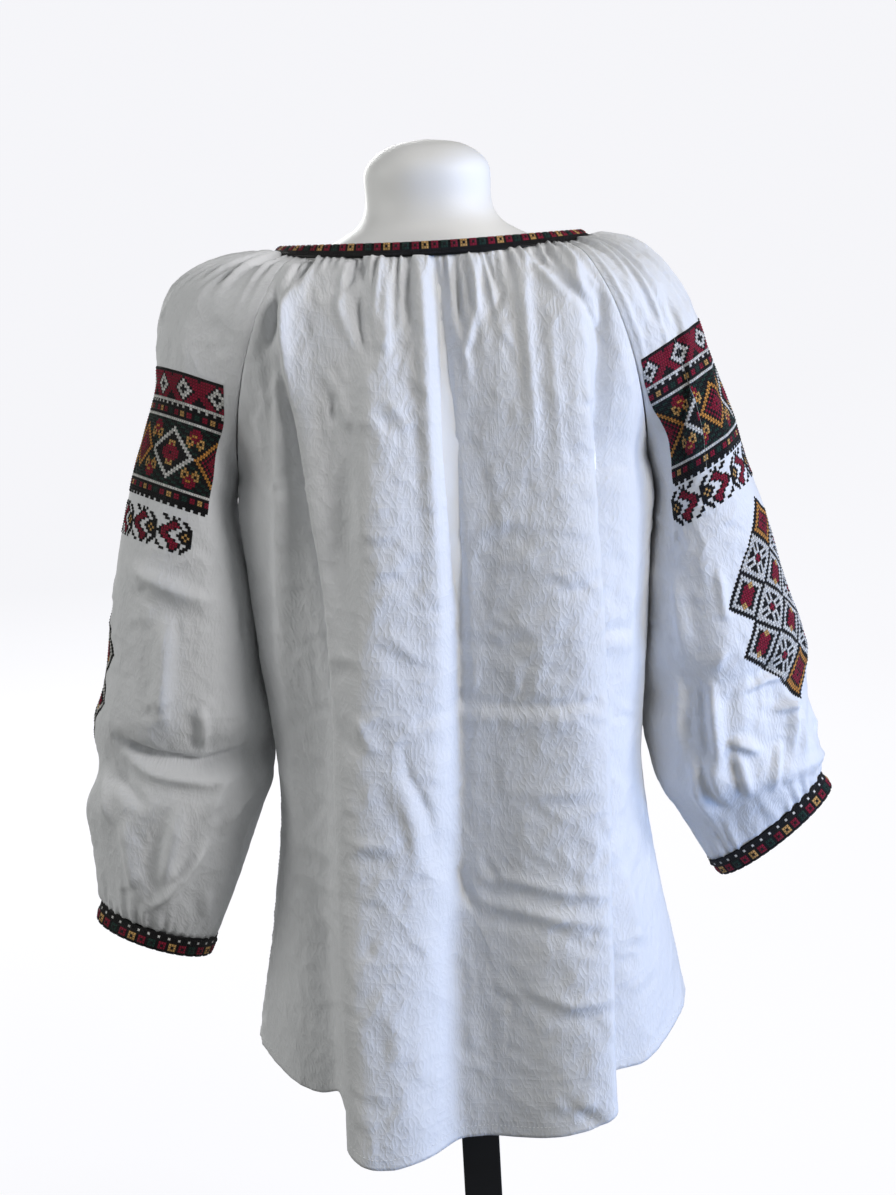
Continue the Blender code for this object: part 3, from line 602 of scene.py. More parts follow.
# Sharp creases from being folded away: their line and height.
BACK_CREASES = (
    (((-0.035, 0.550), (0.000, 0.557), (0.050, 0.555), (0.095, 0.557)), -0.0019),
    (((0.108, 0.597), (0.122, 0.599), (0.136, 0.598)), -0.0020),
    (((-0.065, 0.560), (-0.060, 0.545), (-0.055, 0.530)), 0.0019),
    (((-0.040, 0.540), (-0.035, 0.510), (-0.025, 0.480), (-0.020, 0.430)), -0.0028),
    (((-0.008, 0.430), (-0.002, 0.410), (0.005, 0.395)), -0.0020),
    (((-0.020, 0.390), (-0.015, 0.360), (-0.015, 0.330)), -0.0015),
    (((0.030, 0.490), (0.060, 0.488), (0.090, 0.490)), 0.0010),
    (((0.010, 0.420), (0.040, 0.420), (0.070, 0.410), (0.095, 0.405)), 0.0023),
    (((0.005, 0.405), (0.050, 0.395), (0.095, 0.380)), 0.0021),
    (((0.035, 0.340), (0.065, 0.325), (0.095, 0.325)), 0.0018),
    (((-0.075, 0.455), (-0.060, 0.460), (-0.045, 0.458)), 0.0014),
    (((-0.125, 0.445), (-0.115, 0.437), (-0.105, 0.435)), 0.0015),
    (((-0.130, 0.420), (-0.120, 0.412), (-0.105, 0.408)), 0.0013),
    (((0.100, 0.430), (0.110, 0.433), (0.122, 0.442)), -0.0015),
    (((-0.090, 0.600), (-0.075, 0.602), (-0.060, 0.600)), 0.0012),
    (((-0.045, 0.620), (-0.035, 0.610), (-0.025, 0.595)), 0.0012),
    (((0.010, 0.610), (0.030, 0.612), (0.055, 0.606)), 0.0009),
    (((0.025, 0.690), (0.045, 0.696), (0.070, 0.690)), 0.0008),
    (((-0.040, 0.790), (-0.030, 0.780), (-0.025, 0.765)), 0.0014),
    (((-0.055, 0.330), (-0.050, 0.310), (-0.052, 0.290)), 0.0011),
    (((0.050, 0.250), (0.065, 0.245), (0.080, 0.248)), 0.0012),
)
print(len(BACK_FOLDS), "long folds,", len(BACK_FAN), "short ones and", len(BACK_CREASES), "creases")

# %% A body panel
PANEL_ROWS = 236
FAN_DEPTH = 1.15  # how deep the folds below the neck are, against their height in the tables
BAND_HEIGHT = 0.88  # a fold that starts above this height comes out of the neck band at full size
CREASE_DEPTH = 2.3  # how deep the long creases are, against their height in the tables
HEM_DEPTH = 0.0085  # how deep the sewn hem is
STREWN_OVER = (-0.14, 0.14, 0.24, 0.84)  # small creases are strewn from x to x and from z to z
STREWN_COUNT = 320
STREWN_HEIGHT = 0.0017  # how far the tallest of them stands out
# Where folds make the hem hang lower or ride up: x, how far it reaches to the side, and how much.
HEM_DROPS = ((-0.070, 0.026, -0.010), (-0.112, 0.014, 0.014), (0.005, 0.030, 0.004), (0.112, 0.014, 0.008))


def random_creases(x, z, box, count, seed, height):
    """Small creases strewn over a panel, more upright than level."""
    rng = np.random.default_rng(seed)
    out = np.zeros(x.shape)
    for _ in range(count):
        cx, cz = rng.uniform(box[0], box[1]), rng.uniform(box[2], box[3])
        length = rng.uniform(0.008, 0.034)
        angle = rng.normal(0.0, 0.55) + (math.pi / 2 if rng.uniform() < 0.25 else 0.0)
        bend = rng.uniform(-0.2, 0.2) * length
        dx, dz = math.sin(angle) * length / 2, -math.cos(angle) * length / 2
        middle = (cx - bend * math.cos(angle), cz - bend * math.sin(angle))
        line = ((cx - dx, cz - dz), middle, (cx + dx, cz + dz))
        near = (abs(x - cx) < length) & (abs(z - cz) < length)
        if near.any():
            tall = height * rng.uniform(0.35, 1.0)
            out[near] += pressed_crease(x[near], z[near], line, tall, rng.uniform(0.0018, 0.0030))
    return out


def hem_shape(from_hem):
    """The hem is turned up and sewn: a thicker strip, with a dimple at each stitch line."""
    strip = 0.00045 * (1 - ramp(from_hem, HEM_DEPTH - 0.0010, HEM_DEPTH + 0.0012))
    stitched = -0.0004 * hump(from_hem - HEM_DEPTH + 0.0014, 0.0009)
    return strip + stitched


def body_panel(side, columns, folds, fan, creases, count, seed):
    """The back (side -1) or the front (side 1) with its map in metres. count is how many pleats
    stand in the neck band."""
    rows = even_rows(
        lambda r: body_surface(side, r, 0 * r), LAST_BODY_ROW, PANEL_ROWS, (HEM_DEPTH, HEM_DEPTH - 0.0015)
    )
    row = np.repeat(rows[:, None], columns + 1, axis=1)
    across = np.repeat(np.linspace(-1, 1, columns + 1)[None, :], len(rows), axis=0)
    base = body_surface(side, row, across)
    low = ramp(row, UNDERARM_ROW + 4, LAST_BODY_ROW)
    for place, reach, drop in HEM_DROPS:
        base[..., 2] += drop * low * hump(base[..., 0] - place, reach)
    u, v = cloth_lengths(base)
    x, z = base[..., 0], base[..., 2]
    out = long_folds(folds, x, z)
    for line, height, left, right in fan:
        from_band = line[0][1] > BAND_HEIGHT
        out += drawn_fold(x, z, line, FAN_DEPTH * height, left, right, open_start=from_band)
    for line, height in creases:
        out += pressed_crease(x, z, line, CREASE_DEPTH * height)
    out += gathers(across, v, count, seed, height=0.0040, shortest=0.022, longest=0.110)
    beside_sleeve = ramp(row, 6.5, 8.0) * (1 - ramp(row, 10.5, 12.0))
    out += 0.006 * beside_sleeve * hump(abs(across) - 0.86, 0.10)
    out += random_creases(x, z, STREWN_OVER, STREWN_COUNT, seed + 1, STREWN_HEIGHT)
    quiet_top = ramp(v, 0.0, 0.02)
    out += crumple(u, v, seed + 2) * quiet_top
    groove, edge = seam_groove(u)
    out *= ramp(edge, 0.0, 0.016)
    out += 0.0005 * hills(u, v, 0.012, 0.0065, seed + 9) * hump(edge - 0.006, 0.006)
    out += groove + hem_shape(v[-1:] - v) + CLOTH_THICK / 2
    away = np.array((0.0, 0.0, 0.0)) + base.mean(axis=1, keepdims=True) * (1, 0.3, 1)
    points = base + outward(base, away) * out[..., None]
    return points, np.stack((u, v), axis=-1)


back_points, back_map = body_panel(
    -1, 204, BACK_FOLDS, BACK_FAN, BACK_CREASES, count=30, seed=11
)
back = cloth_piece("back_cloth", back_points, back_map, (0, 0.05, 0.6), white_cotton)
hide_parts("back_panel")
back_area = flat_area(back_points)
print(f"the back: {back_points.shape[0]} by {back_points.shape[1]} points, {back_area:.3f} square metres")

# %% [markdown]
# ## The front
#
# The front hangs over the chest of the form and is gathered lower, because the neckline dips
# there. It is plain as well. Its folds are of the same kind as the back's, a little shallower,
# because the chest carries the cloth forward.

# %% The front's folds
FRONT_FOLDS = (
    ((-0.090, -0.105, -0.110, -0.114, -0.118), (0.002, 0.004, 0.006, 0.010, 0.016),
     (0.014, 0.022), (0.010, 0.020)),
    ((-0.062, -0.072, -0.076, -0.080, -0.082), (-0.002, -0.004, -0.006, -0.010, -0.016),
     (0.010, 0.016), (0.010, 0.018)),
    ((-0.030, -0.038, -0.041, -0.043, -0.044), (0.003, 0.005, 0.008, 0.013, 0.020),
     (0.012, 0.022), (0.008, 0.014)),
    ((0.000, 0.000, 0.001, 0.003, 0.004), (-0.003, -0.005, -0.008, -0.012, -0.018),
     (0.010, 0.016), (0.012, 0.022)),
    ((0.032, 0.037, 0.042, 0.049, 0.054), (0.003, 0.005, 0.008, 0.014, 0.022),
     (0.008, 0.014), (0.012, 0.022)),
    ((0.062, 0.072, 0.080, 0.088, 0.092), (-0.002, -0.004, -0.006, -0.010, -0.014),
     (0.010, 0.016), (0.010, 0.016)),
    ((0.090, 0.102, 0.108, 0.117, 0.124), (0.002, 0.004, 0.006, 0.010, 0.014),
     (0.010, 0.018), (0.014, 0.022)),
)
FRONT_FAN = (
    (((-0.086, 0.872), (-0.098, 0.835), (-0.112, 0.790), (-0.116, 0.730)), 0.0036, 0.007, 0.005),
    (((-0.066, 0.862), (-0.080, 0.826), (-0.100, 0.786)), 0.0028, 0.006, 0.005),
    (((-0.047, 0.854), (-0.056, 0.812), (-0.060, 0.752), (-0.064, 0.690)), 0.0030, 0.007, 0.005),
    (((-0.024, 0.848), (-0.026, 0.820), (-0.034, 0.780)), 0.0026, 0.005, 0.006),
    (((-0.004, 0.846), (-0.006, 0.806), (-0.012, 0.740), (-0.010, 0.660)), 0.0034, 0.006, 0.009),
    (((0.020, 0.847), (0.026, 0.815), (0.022, 0.775)), 0.0024, 0.005, 0.005),
    (((0.042, 0.852), (0.052, 0.806), (0.060, 0.742), (0.062, 0.660)), 0.0032, 0.009, 0.005),
    (((0.060, 0.859), (0.076, 0.822), (0.090, 0.778)), 0.0026, 0.005, 0.004),
    (((0.080, 0.868), (0.098, 0.836), (0.114, 0.796), (0.122, 0.742)), 0.0038, 0.005, 0.007),
    (((-0.092, 0.660), (-0.088, 0.600), (-0.094, 0.520)), 0.0026, 0.006, 0.004),
    (((0.020, 0.620), (0.012, 0.540), (0.020, 0.460)), 0.0022, 0.009, 0.006),
    (((0.088, 0.600), (0.094, 0.520), (0.100, 0.430)), 0.0024, 0.005, 0.007),
    (((-0.030, 0.430), (-0.022, 0.370), (-0.030, 0.300)), 0.0020, 0.008, 0.006),
)
FRONT_CREASES = (
    (((-0.100, 0.590), (-0.060, 0.586), (-0.020, 0.590)), 0.0016),
    (((0.010, 0.560), (0.050, 0.566), (0.096, 0.558)), 0.0018),
    (((-0.110, 0.470), (-0.066, 0.474), (-0.034, 0.468)), 0.0015),
    (((0.000, 0.452), (0.042, 0.446), (0.088, 0.452)), 0.0012),
    (((-0.092, 0.370), (-0.040, 0.362), (0.006, 0.368)), 0.0017),
    (((0.030, 0.352), (0.066, 0.346), (0.118, 0.354)), 0.0015),
    (((0.052, 0.540), (0.046, 0.500), (0.054, 0.450), (0.060, 0.416)), 0.0020),
    (((-0.076, 0.560), (-0.070, 0.524), (-0.060, 0.500)), 0.0016),
    (((-0.020, 0.330), (-0.010, 0.300), (-0.014, 0.270)), 0.0012),
    (((0.084, 0.690), (0.100, 0.670), (0.108, 0.640)), 0.0010),
    (((-0.060, 0.700), (-0.048, 0.676), (-0.050, 0.650)), 0.0010),
)
front_points, front_map = body_panel(
    1, 164, FRONT_FOLDS, FRONT_FAN, FRONT_CREASES, count=26, seed=41
)
front = cloth_piece("front_cloth", front_points, front_map, (0, 0.0, 0.6), white_cotton)
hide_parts("front_panel")
front_area = flat_area(front_points)
print(f"the front: {front_area:.3f} square metres")

# %% [markdown]
# ## The sleeves
#
# A sleeve is one straight piece too. It is gathered at the neck beside the body panels, its long
# edges meet under the arm, and its end is gathered into the cuff. With no arm inside, it bends at
# the elbow under its own weight and the lower half balloons above the cuff. Its points are made
# for an arm that goes towards +x, and the left one is mirrored at the end.

# %% The sleeves' folds
# turn_top turn_low row_top row_low out half_width: turn is -1 at the back edge, 1 at the front.
LEFT_LONG = (
    (-0.62, -0.55, 2.0, 8.0, 0.0040, 0.10),
    (-0.40, -0.42, 9.5, 13.0, 0.0050, 0.09),
    (-0.66, -0.40, 13.0, 17.0, 0.0055, 0.10),
    (-0.20, -0.18, 13.5, 17.0, -0.0050, 0.10),
    (0.35, 0.30, 8.0, 13.0, 0.0050, 0.12),
    (0.50, 0.45, 13.0, 17.0, -0.0050, 0.12),
)
RIGHT_LONG = (
    (-0.30, -0.33, 3.0, 9.5, 0.0050, 0.07),
    (-0.60, -0.50, 8.5, 15.0, 0.0060, 0.09),
    (-0.38, -0.30, 10.0, 16.5, -0.0055, 0.10),
    (0.35, 0.30, 8.0, 13.0, 0.0050, 0.12),
    (0.50, 0.45, 13.0, 17.0, -0.0050, 0.12),
)
# Folds that run round the sleeve: row, out, half height in rows
LEFT_ROUND = ((12.2, 0.0040, 0.5), (13.1, -0.0050, 0.4), (13.9, 0.0040, 0.5))
RIGHT_ROUND = ((11.6, 0.0030, 0.5), (12.4, -0.0040, 0.4), (14.6, 0.0040, 0.6))
# Folds drawn on the sleeve's back half, x outwards: line, height, and reach to either side
LEFT_DRAWN = (
    (((0.255, 0.670), (0.220, 0.655), (0.195, 0.640), (0.175, 0.635)), 0.0044, 0.005, 0.009),
    (((0.215, 0.635), (0.220, 0.600), (0.225, 0.560), (0.225, 0.530)), 0.0050, 0.004, 0.008),
    (((0.200, 0.560), (0.198, 0.540), (0.200, 0.515)), 0.0038, 0.003, 0.005),
    (((0.275, 0.535), (0.240, 0.515), (0.200, 0.505), (0.150, 0.515)), -0.0065, 0.004, 0.006),
    (((0.275, 0.520), (0.240, 0.502), (0.200, 0.494), (0.165, 0.500)), 0.0034, 0.008, 0.006),
    (((0.275, 0.500), (0.255, 0.482), (0.245, 0.470)), -0.0030, 0.005, 0.004),
    (((0.220, 0.480), (0.235, 0.430), (0.245, 0.395)), 0.0044, 0.007, 0.005),
    (((0.200, 0.450), (0.220, 0.425), (0.240, 0.400), (0.260, 0.385)), 0.0050, 0.005, 0.004),
    (((0.185, 0.500), (0.205, 0.460)), 0.0026, 0.005, 0.004),
    (((0.165, 0.485), (0.195, 0.450)), 0.0024, 0.004, 0.004),
    (((0.285, 0.505), (0.280, 0.480), (0.280, 0.455)), 0.0024, 0.004, 0.004),
    (((0.208, 0.400), (0.215, 0.370)), 0.0030, 0.004, 0.004),
    (((0.265, 0.470), (0.265, 0.425), (0.260, 0.390)), 0.0040, 0.008, 0.006),
)
RIGHT_DRAWN = (
    (((0.200, 0.565), (0.200, 0.520), (0.205, 0.480), (0.220, 0.445)), 0.0058, 0.008, 0.005),
    (((0.192, 0.560), (0.195, 0.520), (0.200, 0.475)), -0.0042, 0.004, 0.005),
    (((0.210, 0.505), (0.222, 0.500), (0.240, 0.490)), 0.0038, 0.004, 0.004),
    (((0.225, 0.540), (0.245, 0.548), (0.268, 0.548)), 0.0028, 0.003, 0.004),
    (((0.250, 0.522), (0.282, 0.526)), 0.0024, 0.003, 0.004),
    (((0.185, 0.500), (0.190, 0.460), (0.205, 0.420)), 0.0034, 0.004, 0.005),
    (((0.205, 0.650), (0.210, 0.610), (0.216, 0.585)), 0.0018, 0.003, 0.003),
    (((0.210, 0.580), (0.202, 0.560)), 0.0016, 0.003, 0.003),
    (((0.260, 0.545), (0.268, 0.520), (0.265, 0.475)), 0.0030, 0.004, 0.003),
    (((0.275, 0.525), (0.275, 0.500), (0.274, 0.475)), 0.0028, 0.003, 0.003),
    (((0.255, 0.500), (0.250, 0.480), (0.245, 0.455)), 0.0030, 0.004, 0.003),
    (((0.215, 0.500), (0.222, 0.475), (0.230, 0.450)), 0.0030, 0.004, 0.004),
    (((0.195, 0.500), (0.202, 0.470), (0.215, 0.440)), 0.0028, 0.004, 0.004),
    (((0.175, 0.645), (0.180, 0.600), (0.185, 0.560)), 0.0034, 0.005, 0.006),
    (((0.175, 0.560), (0.175, 0.520), (0.180, 0.480)), 0.0022, 0.004, 0.004),
)
# The same kind of folds on the front half, which faces the chest's side.
FRONT_DRAWN = (
    (((0.262, 0.640), (0.236, 0.632), (0.206, 0.612), (0.180, 0.606)), 0.0036, 0.005, 0.008),
    (((0.222, 0.612), (0.230, 0.570), (0.236, 0.536)), 0.0040, 0.005, 0.007),
    (((0.204, 0.580), (0.208, 0.552), (0.204, 0.526)), 0.0030, 0.004, 0.005),
    (((0.276, 0.548), (0.248, 0.526), (0.214, 0.512), (0.166, 0.516)), -0.0048, 0.004, 0.006),
    (((0.256, 0.500), (0.246, 0.470), (0.252, 0.436)), 0.0032, 0.006, 0.005),
    (((0.208, 0.506), (0.222, 0.468), (0.226, 0.430)), 0.0034, 0.006, 0.005),
    (((0.190, 0.470), (0.206, 0.448), (0.222, 0.424)), 0.0028, 0.005, 0.004),
    (((0.270, 0.730), (0.240, 0.716), (0.205, 0.700)), 0.0022, 0.004, 0.005),
)

FOLD_DEPTH = 1.9  # how deep the drawn folds are, against their height in the tables
SLEEVE_ROWS = 232
SLEEVE_COLUMNS = 176
SLEEVE_STREWN_OVER = (-0.17, 0.17, 0.40, 0.86)  # small creases: across the cloth, and z to z
SLEEVE_STREWN_COUNT = 280


def sleeve_cloth(table, long_list, round_list, drawn, tuck, calm, seed):
    """One sleeve's outer face, with its map in metres, for an arm that goes towards +x. calm is
    the heights between which stitches stiffen the cloth, so it wrinkles less there."""
    rows = even_rows(
        lambda r: sleeve_surface(table, r, 0 * r - 0.2), LAST_SLEEVE_ROW, SLEEVE_ROWS
    )
    row = np.repeat(rows[:, None], SLEEVE_COLUMNS + 1, axis=1)
    turn = np.repeat(np.linspace(-1, 1, SLEEVE_COLUMNS + 1)[None, :], len(rows), axis=0)
    base = sleeve_surface(table, row, turn)
    u, v = cloth_lengths(base)
    x, z = base[..., 0], base[..., 2]
    out = np.zeros(x.shape)
    for turn_top, turn_low, row_top, row_low, height, reach in long_list:
        along = np.clip((row - row_top) / (row_low - row_top), 0, 1)
        place = turn_top + (turn_low - turn_top) * along
        out += height * np.sin(math.pi * along) * hump(turn - place, reach)
    for middle, height, reach in round_list:
        out += height * hump(row - middle - 0.35 * np.sin(3.1 * turn + 0.6), reach)
    for part, lines in ((-1, drawn), (1, FRONT_DRAWN)):
        half = ramp(part * turn, 0.0, 0.12)
        for line, height, left, right in lines:
            out += half * drawn_fold(x, z, line, FOLD_DEPTH * height, left, right)
    for place_top, place_low, row_top, row_low, height, back_reach, front_reach in tuck:
        along = np.clip((row - row_top) / (row_low - row_top), 0, 1)
        side = turn - (place_top + (place_low - place_top) * along)
        size = ramp(along, 0, 0.25) * (1 - ramp(along, 0.7, 1.0))
        out += height * size * hump(side, np.where(side < 0, back_reach, front_reach))
    # long pleats hang from the neck band, and short ones stand in the cuff
    out += gathers(turn, v, 17, seed, height=0.0088, shortest=0.070, longest=0.190, spread=0.15)
    out += gathers(turn, v[-1:] - v, 34, seed + 1, height=0.0034, shortest=0.014, longest=0.075)
    loose = 1 - 0.7 * ramp(z, calm[0] - 0.02, calm[0]) * (1 - ramp(z, calm[1], calm[1] + 0.015))
    strewn = random_creases(u, z, SLEEVE_STREWN_OVER, SLEEVE_STREWN_COUNT, seed + 2, STREWN_HEIGHT)
    quiet_ends = ramp(v, 0.0, 0.02) * ramp(v[-1:] - v, 0.0, 0.012)
    out += (strewn + crumple(u, v, seed + 3)) * quiet_ends * loose
    groove, edge = seam_groove(u)
    out *= ramp(edge, 0.0, 0.014)
    out += 0.0004 * hills(u, v, 0.012, 0.0065, seed + 9) * hump(edge - 0.006, 0.006)
    out += groove + CLOTH_THICK / 2
    away = base.mean(axis=1, keepdims=True) * (0.92, 1, 1) + (0, 0, -0.03)
    points = base + outward(base, away) * out[..., None]
    return points, np.stack((u, v), axis=-1)


left_sleeve, left_map = sleeve_cloth(
    LEFT_SLEEVE, LEFT_LONG, LEFT_ROUND, LEFT_DRAWN, tuck=(), calm=(0.705, 0.815), seed=71
)
# The right sleeve has a tuck behind the shoulder that swallows part of the embroidery: turn at its
# top and foot, row at its top and foot, how far it stands out, and its reach back and front.
RIGHT_TUCK = ((-0.52, -0.56, 3.2, 8.6, 0.0046, 0.022, 0.16),)
right_sleeve, right_map = sleeve_cloth(
    RIGHT_SLEEVE, RIGHT_LONG, RIGHT_ROUND, RIGHT_DRAWN, tuck=RIGHT_TUCK, calm=(0.700, 0.812),
    seed=91,
)
MIRROR = np.array((-1.0, 1.0, 1.0))
sleeve_left = cloth_piece(
    "sleeve_left_cloth", left_sleeve * MIRROR, left_map, (-0.19, 0, 0.60), white_cotton
)
sleeve_right = cloth_piece(
    "sleeve_right_cloth", right_sleeve, right_map, (0.19, 0, 0.60), white_cotton
)
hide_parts("sleeve_left")
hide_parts("sleeve_right")
left_area, right_area = flat_area(left_sleeve), flat_area(right_sleeve)
print(f"the sleeves: {left_area:.3f} and {right_area:.3f} square metres")

# %% [markdown]
# ## Thread
#
# Cross-stitch is worked with a few loosely twisted cotton threads. Each stitch is two short
# diagonal threads, one over the other, so it is a little cushion with an X on it. Every stitch has
# its own square of the UV map, and the material draws the X there: the gaps between the two
# diagonals are lower, with painted shade in them and round each stitch's rim, and fine lines run
# along the diagonals.

# %% The threads' material
NONE, BLACK, RED, GREEN, YELLOW, WHITE, ORANGE = range(7)
THREADS = (
    ("black_thread", (0.008, 0.007, 0.009)),
    ("dark_red_thread", (0.420, 0.010, 0.050)),
    ("dark_green_thread", (0.014, 0.060, 0.045)),
    ("yellow_thread", (0.960, 0.560, 0.190)),
    ("white_thread", (0.950, 0.940, 0.910)),
    ("orange_thread", (0.950, 0.420, 0.090)),
)


def thread_material(name, colour):
    material, nodes, links, surface = new_material(name)
    surface.inputs["Roughness"].default_value = 0.50
    surface.inputs["Sheen Weight"].default_value = 0.04
    surface.inputs["Specular IOR Level"].default_value = 0.25
    square = nodes.new("ShaderNodeTexCoord").outputs["UV"]
    within = node(nodes, "ShaderNodeVectorMath", operation="FRACTION")
    links.new(square, within.inputs[0])
    axes = nodes.new("ShaderNodeSeparateXYZ")
    links.new(within.outputs["Vector"], axes.inputs["Vector"])

    def calc(operation, first, second, clamp=False):
        made = node(nodes, "ShaderNodeMath", operation=operation, use_clamp=clamp)
        for socket, value in zip(made.inputs, (first, second)):
            if isinstance(value, (int, float)):
                socket.default_value = value
            else:
                links.new(value, socket)
        return made.outputs["Value"]

    rising = calc("ABSOLUTE", calc("SUBTRACT", axes.outputs["X"], axes.outputs["Y"]), 0)
    both = calc("ADD", axes.outputs["X"], axes.outputs["Y"])
    falling = calc("ABSOLUTE", calc("SUBTRACT", both, 1.0), 0)
    across_x = calc("MINIMUM", rising, falling)
    gap = calc("SUBTRACT", 1.0, calc("MULTIPLY", across_x, 2.4), True)
    # the cloth between two stitches lies deep: painted shade darkens it there and at each stitch's rim
    off_x = calc("ABSOLUTE", calc("SUBTRACT", axes.outputs["X"], 0.5), 0)
    off_y = calc("ABSOLUTE", calc("SUBTRACT", axes.outputs["Y"], 0.5), 0)
    border = calc("MULTIPLY", calc("SUBTRACT", calc("MAXIMUM", off_x, off_y), 0.31), 6.0, True)
    gap = calc("MULTIPLY", gap, calc("SUBTRACT", 1.0, calc("MULTIPLY", border, 0.95)))
    twist = calc("SINE", calc("MULTIPLY", both, 34.0), 0)
    height = calc("ADD", gap, calc("MULTIPLY", twist, 0.12))
    # painted shade: gaps and rims get a darker copy of the thread's colour, white threads less of it
    shade = node(nodes, "ShaderNodeMix", data_type="RGBA")
    deep = 0.42 if name == "white_thread" else 0.12  # white threads hide their gaps
    shade.inputs["A"].default_value = (*[c * deep for c in colour], 1)
    shade.inputs["B"].default_value = (*colour, 1)
    links.new(gap, shade.inputs["Factor"])
    # one stitch is never dyed or lit quite like the next
    cell = node(nodes, "ShaderNodeTexWhiteNoise", noise_dimensions="2D")
    corner = node(nodes, "ShaderNodeVectorMath", operation="FLOOR")
    links.new(square, corner.inputs[0])
    links.new(corner.outputs["Vector"], cell.inputs["Vector"])
    varied = node(nodes, "ShaderNodeHueSaturation", Saturation=1.0)
    links.new(calc("ADD", calc("MULTIPLY", cell.outputs["Value"], 0.35), 0.82), varied.inputs["Value"])
    links.new(shade.outputs["Result"], varied.inputs["Color"])
    links.new(varied.outputs["Color"], surface.inputs["Base Color"])
    bump = node(nodes, "ShaderNodeBump", Strength=0.9, Distance=0.0005)
    links.new(height, bump.inputs["Height"])
    links.new(bump.outputs["Normal"], surface.inputs["Normal"])
    return material


threads = [thread_material(name, colour) for name, colour in THREADS]

# %% [markdown]
# ## The charts
#
# An embroiderer works from a chart on squared paper: one square, one stitch. The charts here are
# the same. Diamonds are rings of stitches round a middle one, and small motifs are drawn with
# letters. K is black, r red, g green, y yellow, w white, o orange, and a dot is bare cloth. Every
# motif is a common one of its kind: diamonds, four-petal flowers and a row of hooked scrolls.

# %% Diamonds, flowers and rows of dots
LETTERS = {".": NONE, "K": BLACK, "r": RED, "g": GREEN, "y": YELLOW, "w": WHITE, "o": ORANGE}


def drawn_chart(text):
    rows = text.split()
    return np.array([[LETTERS[letter] for letter in row] for row in rows])


def diamond(chart, row, column, rings):
    """Rings of stitches round a middle one, the first colour in the middle."""
    rows, columns = np.indices(chart.shape)
    ring = abs(rows - row) + abs(columns - column)
    inside = ring < len(rings)
    chart[inside] = np.asarray(rings)[ring[inside]]


def stamp(chart, motif, row, column):
    """Copies a small motif's stitches round a middle stitch. Its dots leave what is there."""
    top, left = row - motif.shape[0] // 2, column - motif.shape[1] // 2
    for i, j in zip(*np.nonzero(motif)):
        if 0 <= top + i < chart.shape[0] and 0 <= left + j < chart.shape[1]:
            chart[top + i, left + j] = motif[i, j]


def dots(chart, row, period, colours, start=1, dot=None):
    """A row of small dots with the colours in turn: 3 by 3 stitches round a black one, or others."""
    dot = DOT if dot is None else dot
    for k, column in enumerate(range(start, chart.shape[1], period)):
        stamp(chart, np.where(dot == RED, colours[k % len(colours)], dot), row, column)


DOT_COLOURS = (RED, YELLOW, RED, GREEN)
FLOWER = drawn_chart("..rrr.. .rrrrr. .rroor. yyrrroy yKyryKy yyo.oyy .y...y.")
BUD = drawn_chart("..yyy.. ..yry.. .rrrrr. rrrrrrr rrrKrrr rrrrrrr .rrrrr. ..yry.. ..yyy..")
DOT = drawn_chart("rrr rKr rrr")
SMALL_DOT = drawn_chart("rr rr")
SNOW = drawn_chart(
    """
    .....K.....
    ...K.K.K...
    ..KK.K.KK..
    .KKK...KKK.
    ....KrK....
    KKK.rrr.KKK
    ....KrK....
    .KKK...KKK.
    ..KK.K.KK..
    ...K.K.K...
    .....K.....
    """
)
CROSS = drawn_chart("K.K .K. K.K")

# %% The shoulder band's chart
BAND_COLUMNS = 108
RINGS_RED = (BLACK, RED, RED, RED, BLACK, RED, BLACK, ORANGE, ORANGE, BLACK)


def shoulder_chart():
    chart = np.full((47, BAND_COLUMNS), BLACK)
    middle = BAND_COLUMNS // 2
    chart[1:10] = RED
    for k in range(-4, 5):
        diamond(chart, 5, middle + 13 * k, (BLACK, BLACK, WHITE, WHITE, BLACK))
        for row, rings in ((10, (BLACK,) * 4), (0, (BLACK,) * 2)):
            for half in (-6, 7):
                inside = middle + 13 * k + half
                if 0 <= inside < BAND_COLUMNS:
                    diamond(chart, row, inside, rings)
    chart[10] = WHITE
    chart[11, ::3] = WHITE
    dots(chart, 14, 3, DOT_COLOURS, dot=SMALL_DOT)
    chart[16] = WHITE
    rows, columns = np.indices(chart.shape)
    field = (rows > 16) & (rows < 40)
    chart[field & ((2 * rows + columns) % 5 < 2)] = GREEN
    for k in range(-3, 4):
        column = middle + 18 * k
        if k % 2 == 0:
            diamond(chart, 28, column, (BLACK,) * 8 + (WHITE, WHITE))
            stamp(chart, BUD, 28, column)
        else:
            diamond(chart, 28, column, RINGS_RED)
    for k in range(-3, 3):
        stamp(chart, FLOWER, 21, middle + 9 + 18 * k)
        stamp(chart, FLOWER[::-1], 35, middle + 9 + 18 * k)
    chart[40] = WHITE
    dots(chart, 43, 3, DOT_COLOURS, dot=SMALL_DOT)
    chart[46] = NONE
    chart[46, 1::3] = BLACK
    chart[46, 2::3] = BLACK
    return chart


# %% The scroll row and the group of diamonds
SCROLL = drawn_chart(
    """
    ..KK..K.K.....
    ...KK.KK..KK..
    .....KrrK..KK.
    ....KrrrrK..KK
    ..KrrrrK..KKKK
    .KrrrK...KKyKK
    KKrrK...KKyKyK
    .KrrrK...KKyKK
    ..KrrrrK..KKKK
    ....KrrrrK..KK
    K....KrrrK.KK.
    KK...KrrK.KK..
    ..KK..KK..K...
    """
)
REACH = 9  # stitches from the middle of a diamond of the group to its tip
RINGS_O = (RED,) * 5 + (BLACK, ORANGE, ORANGE, BLACK, BLACK)
RINGS_S = (WHITE,) * 9 + (BLACK,)
RINGS_B = (BLACK,) * 6 + (WHITE, WHITE, BLACK, BLACK)
PAIR = drawn_chart("...rryy ..rrryy .rrrrrr rrrrrrr rrrrrr. yyrrr.. yyrr...")


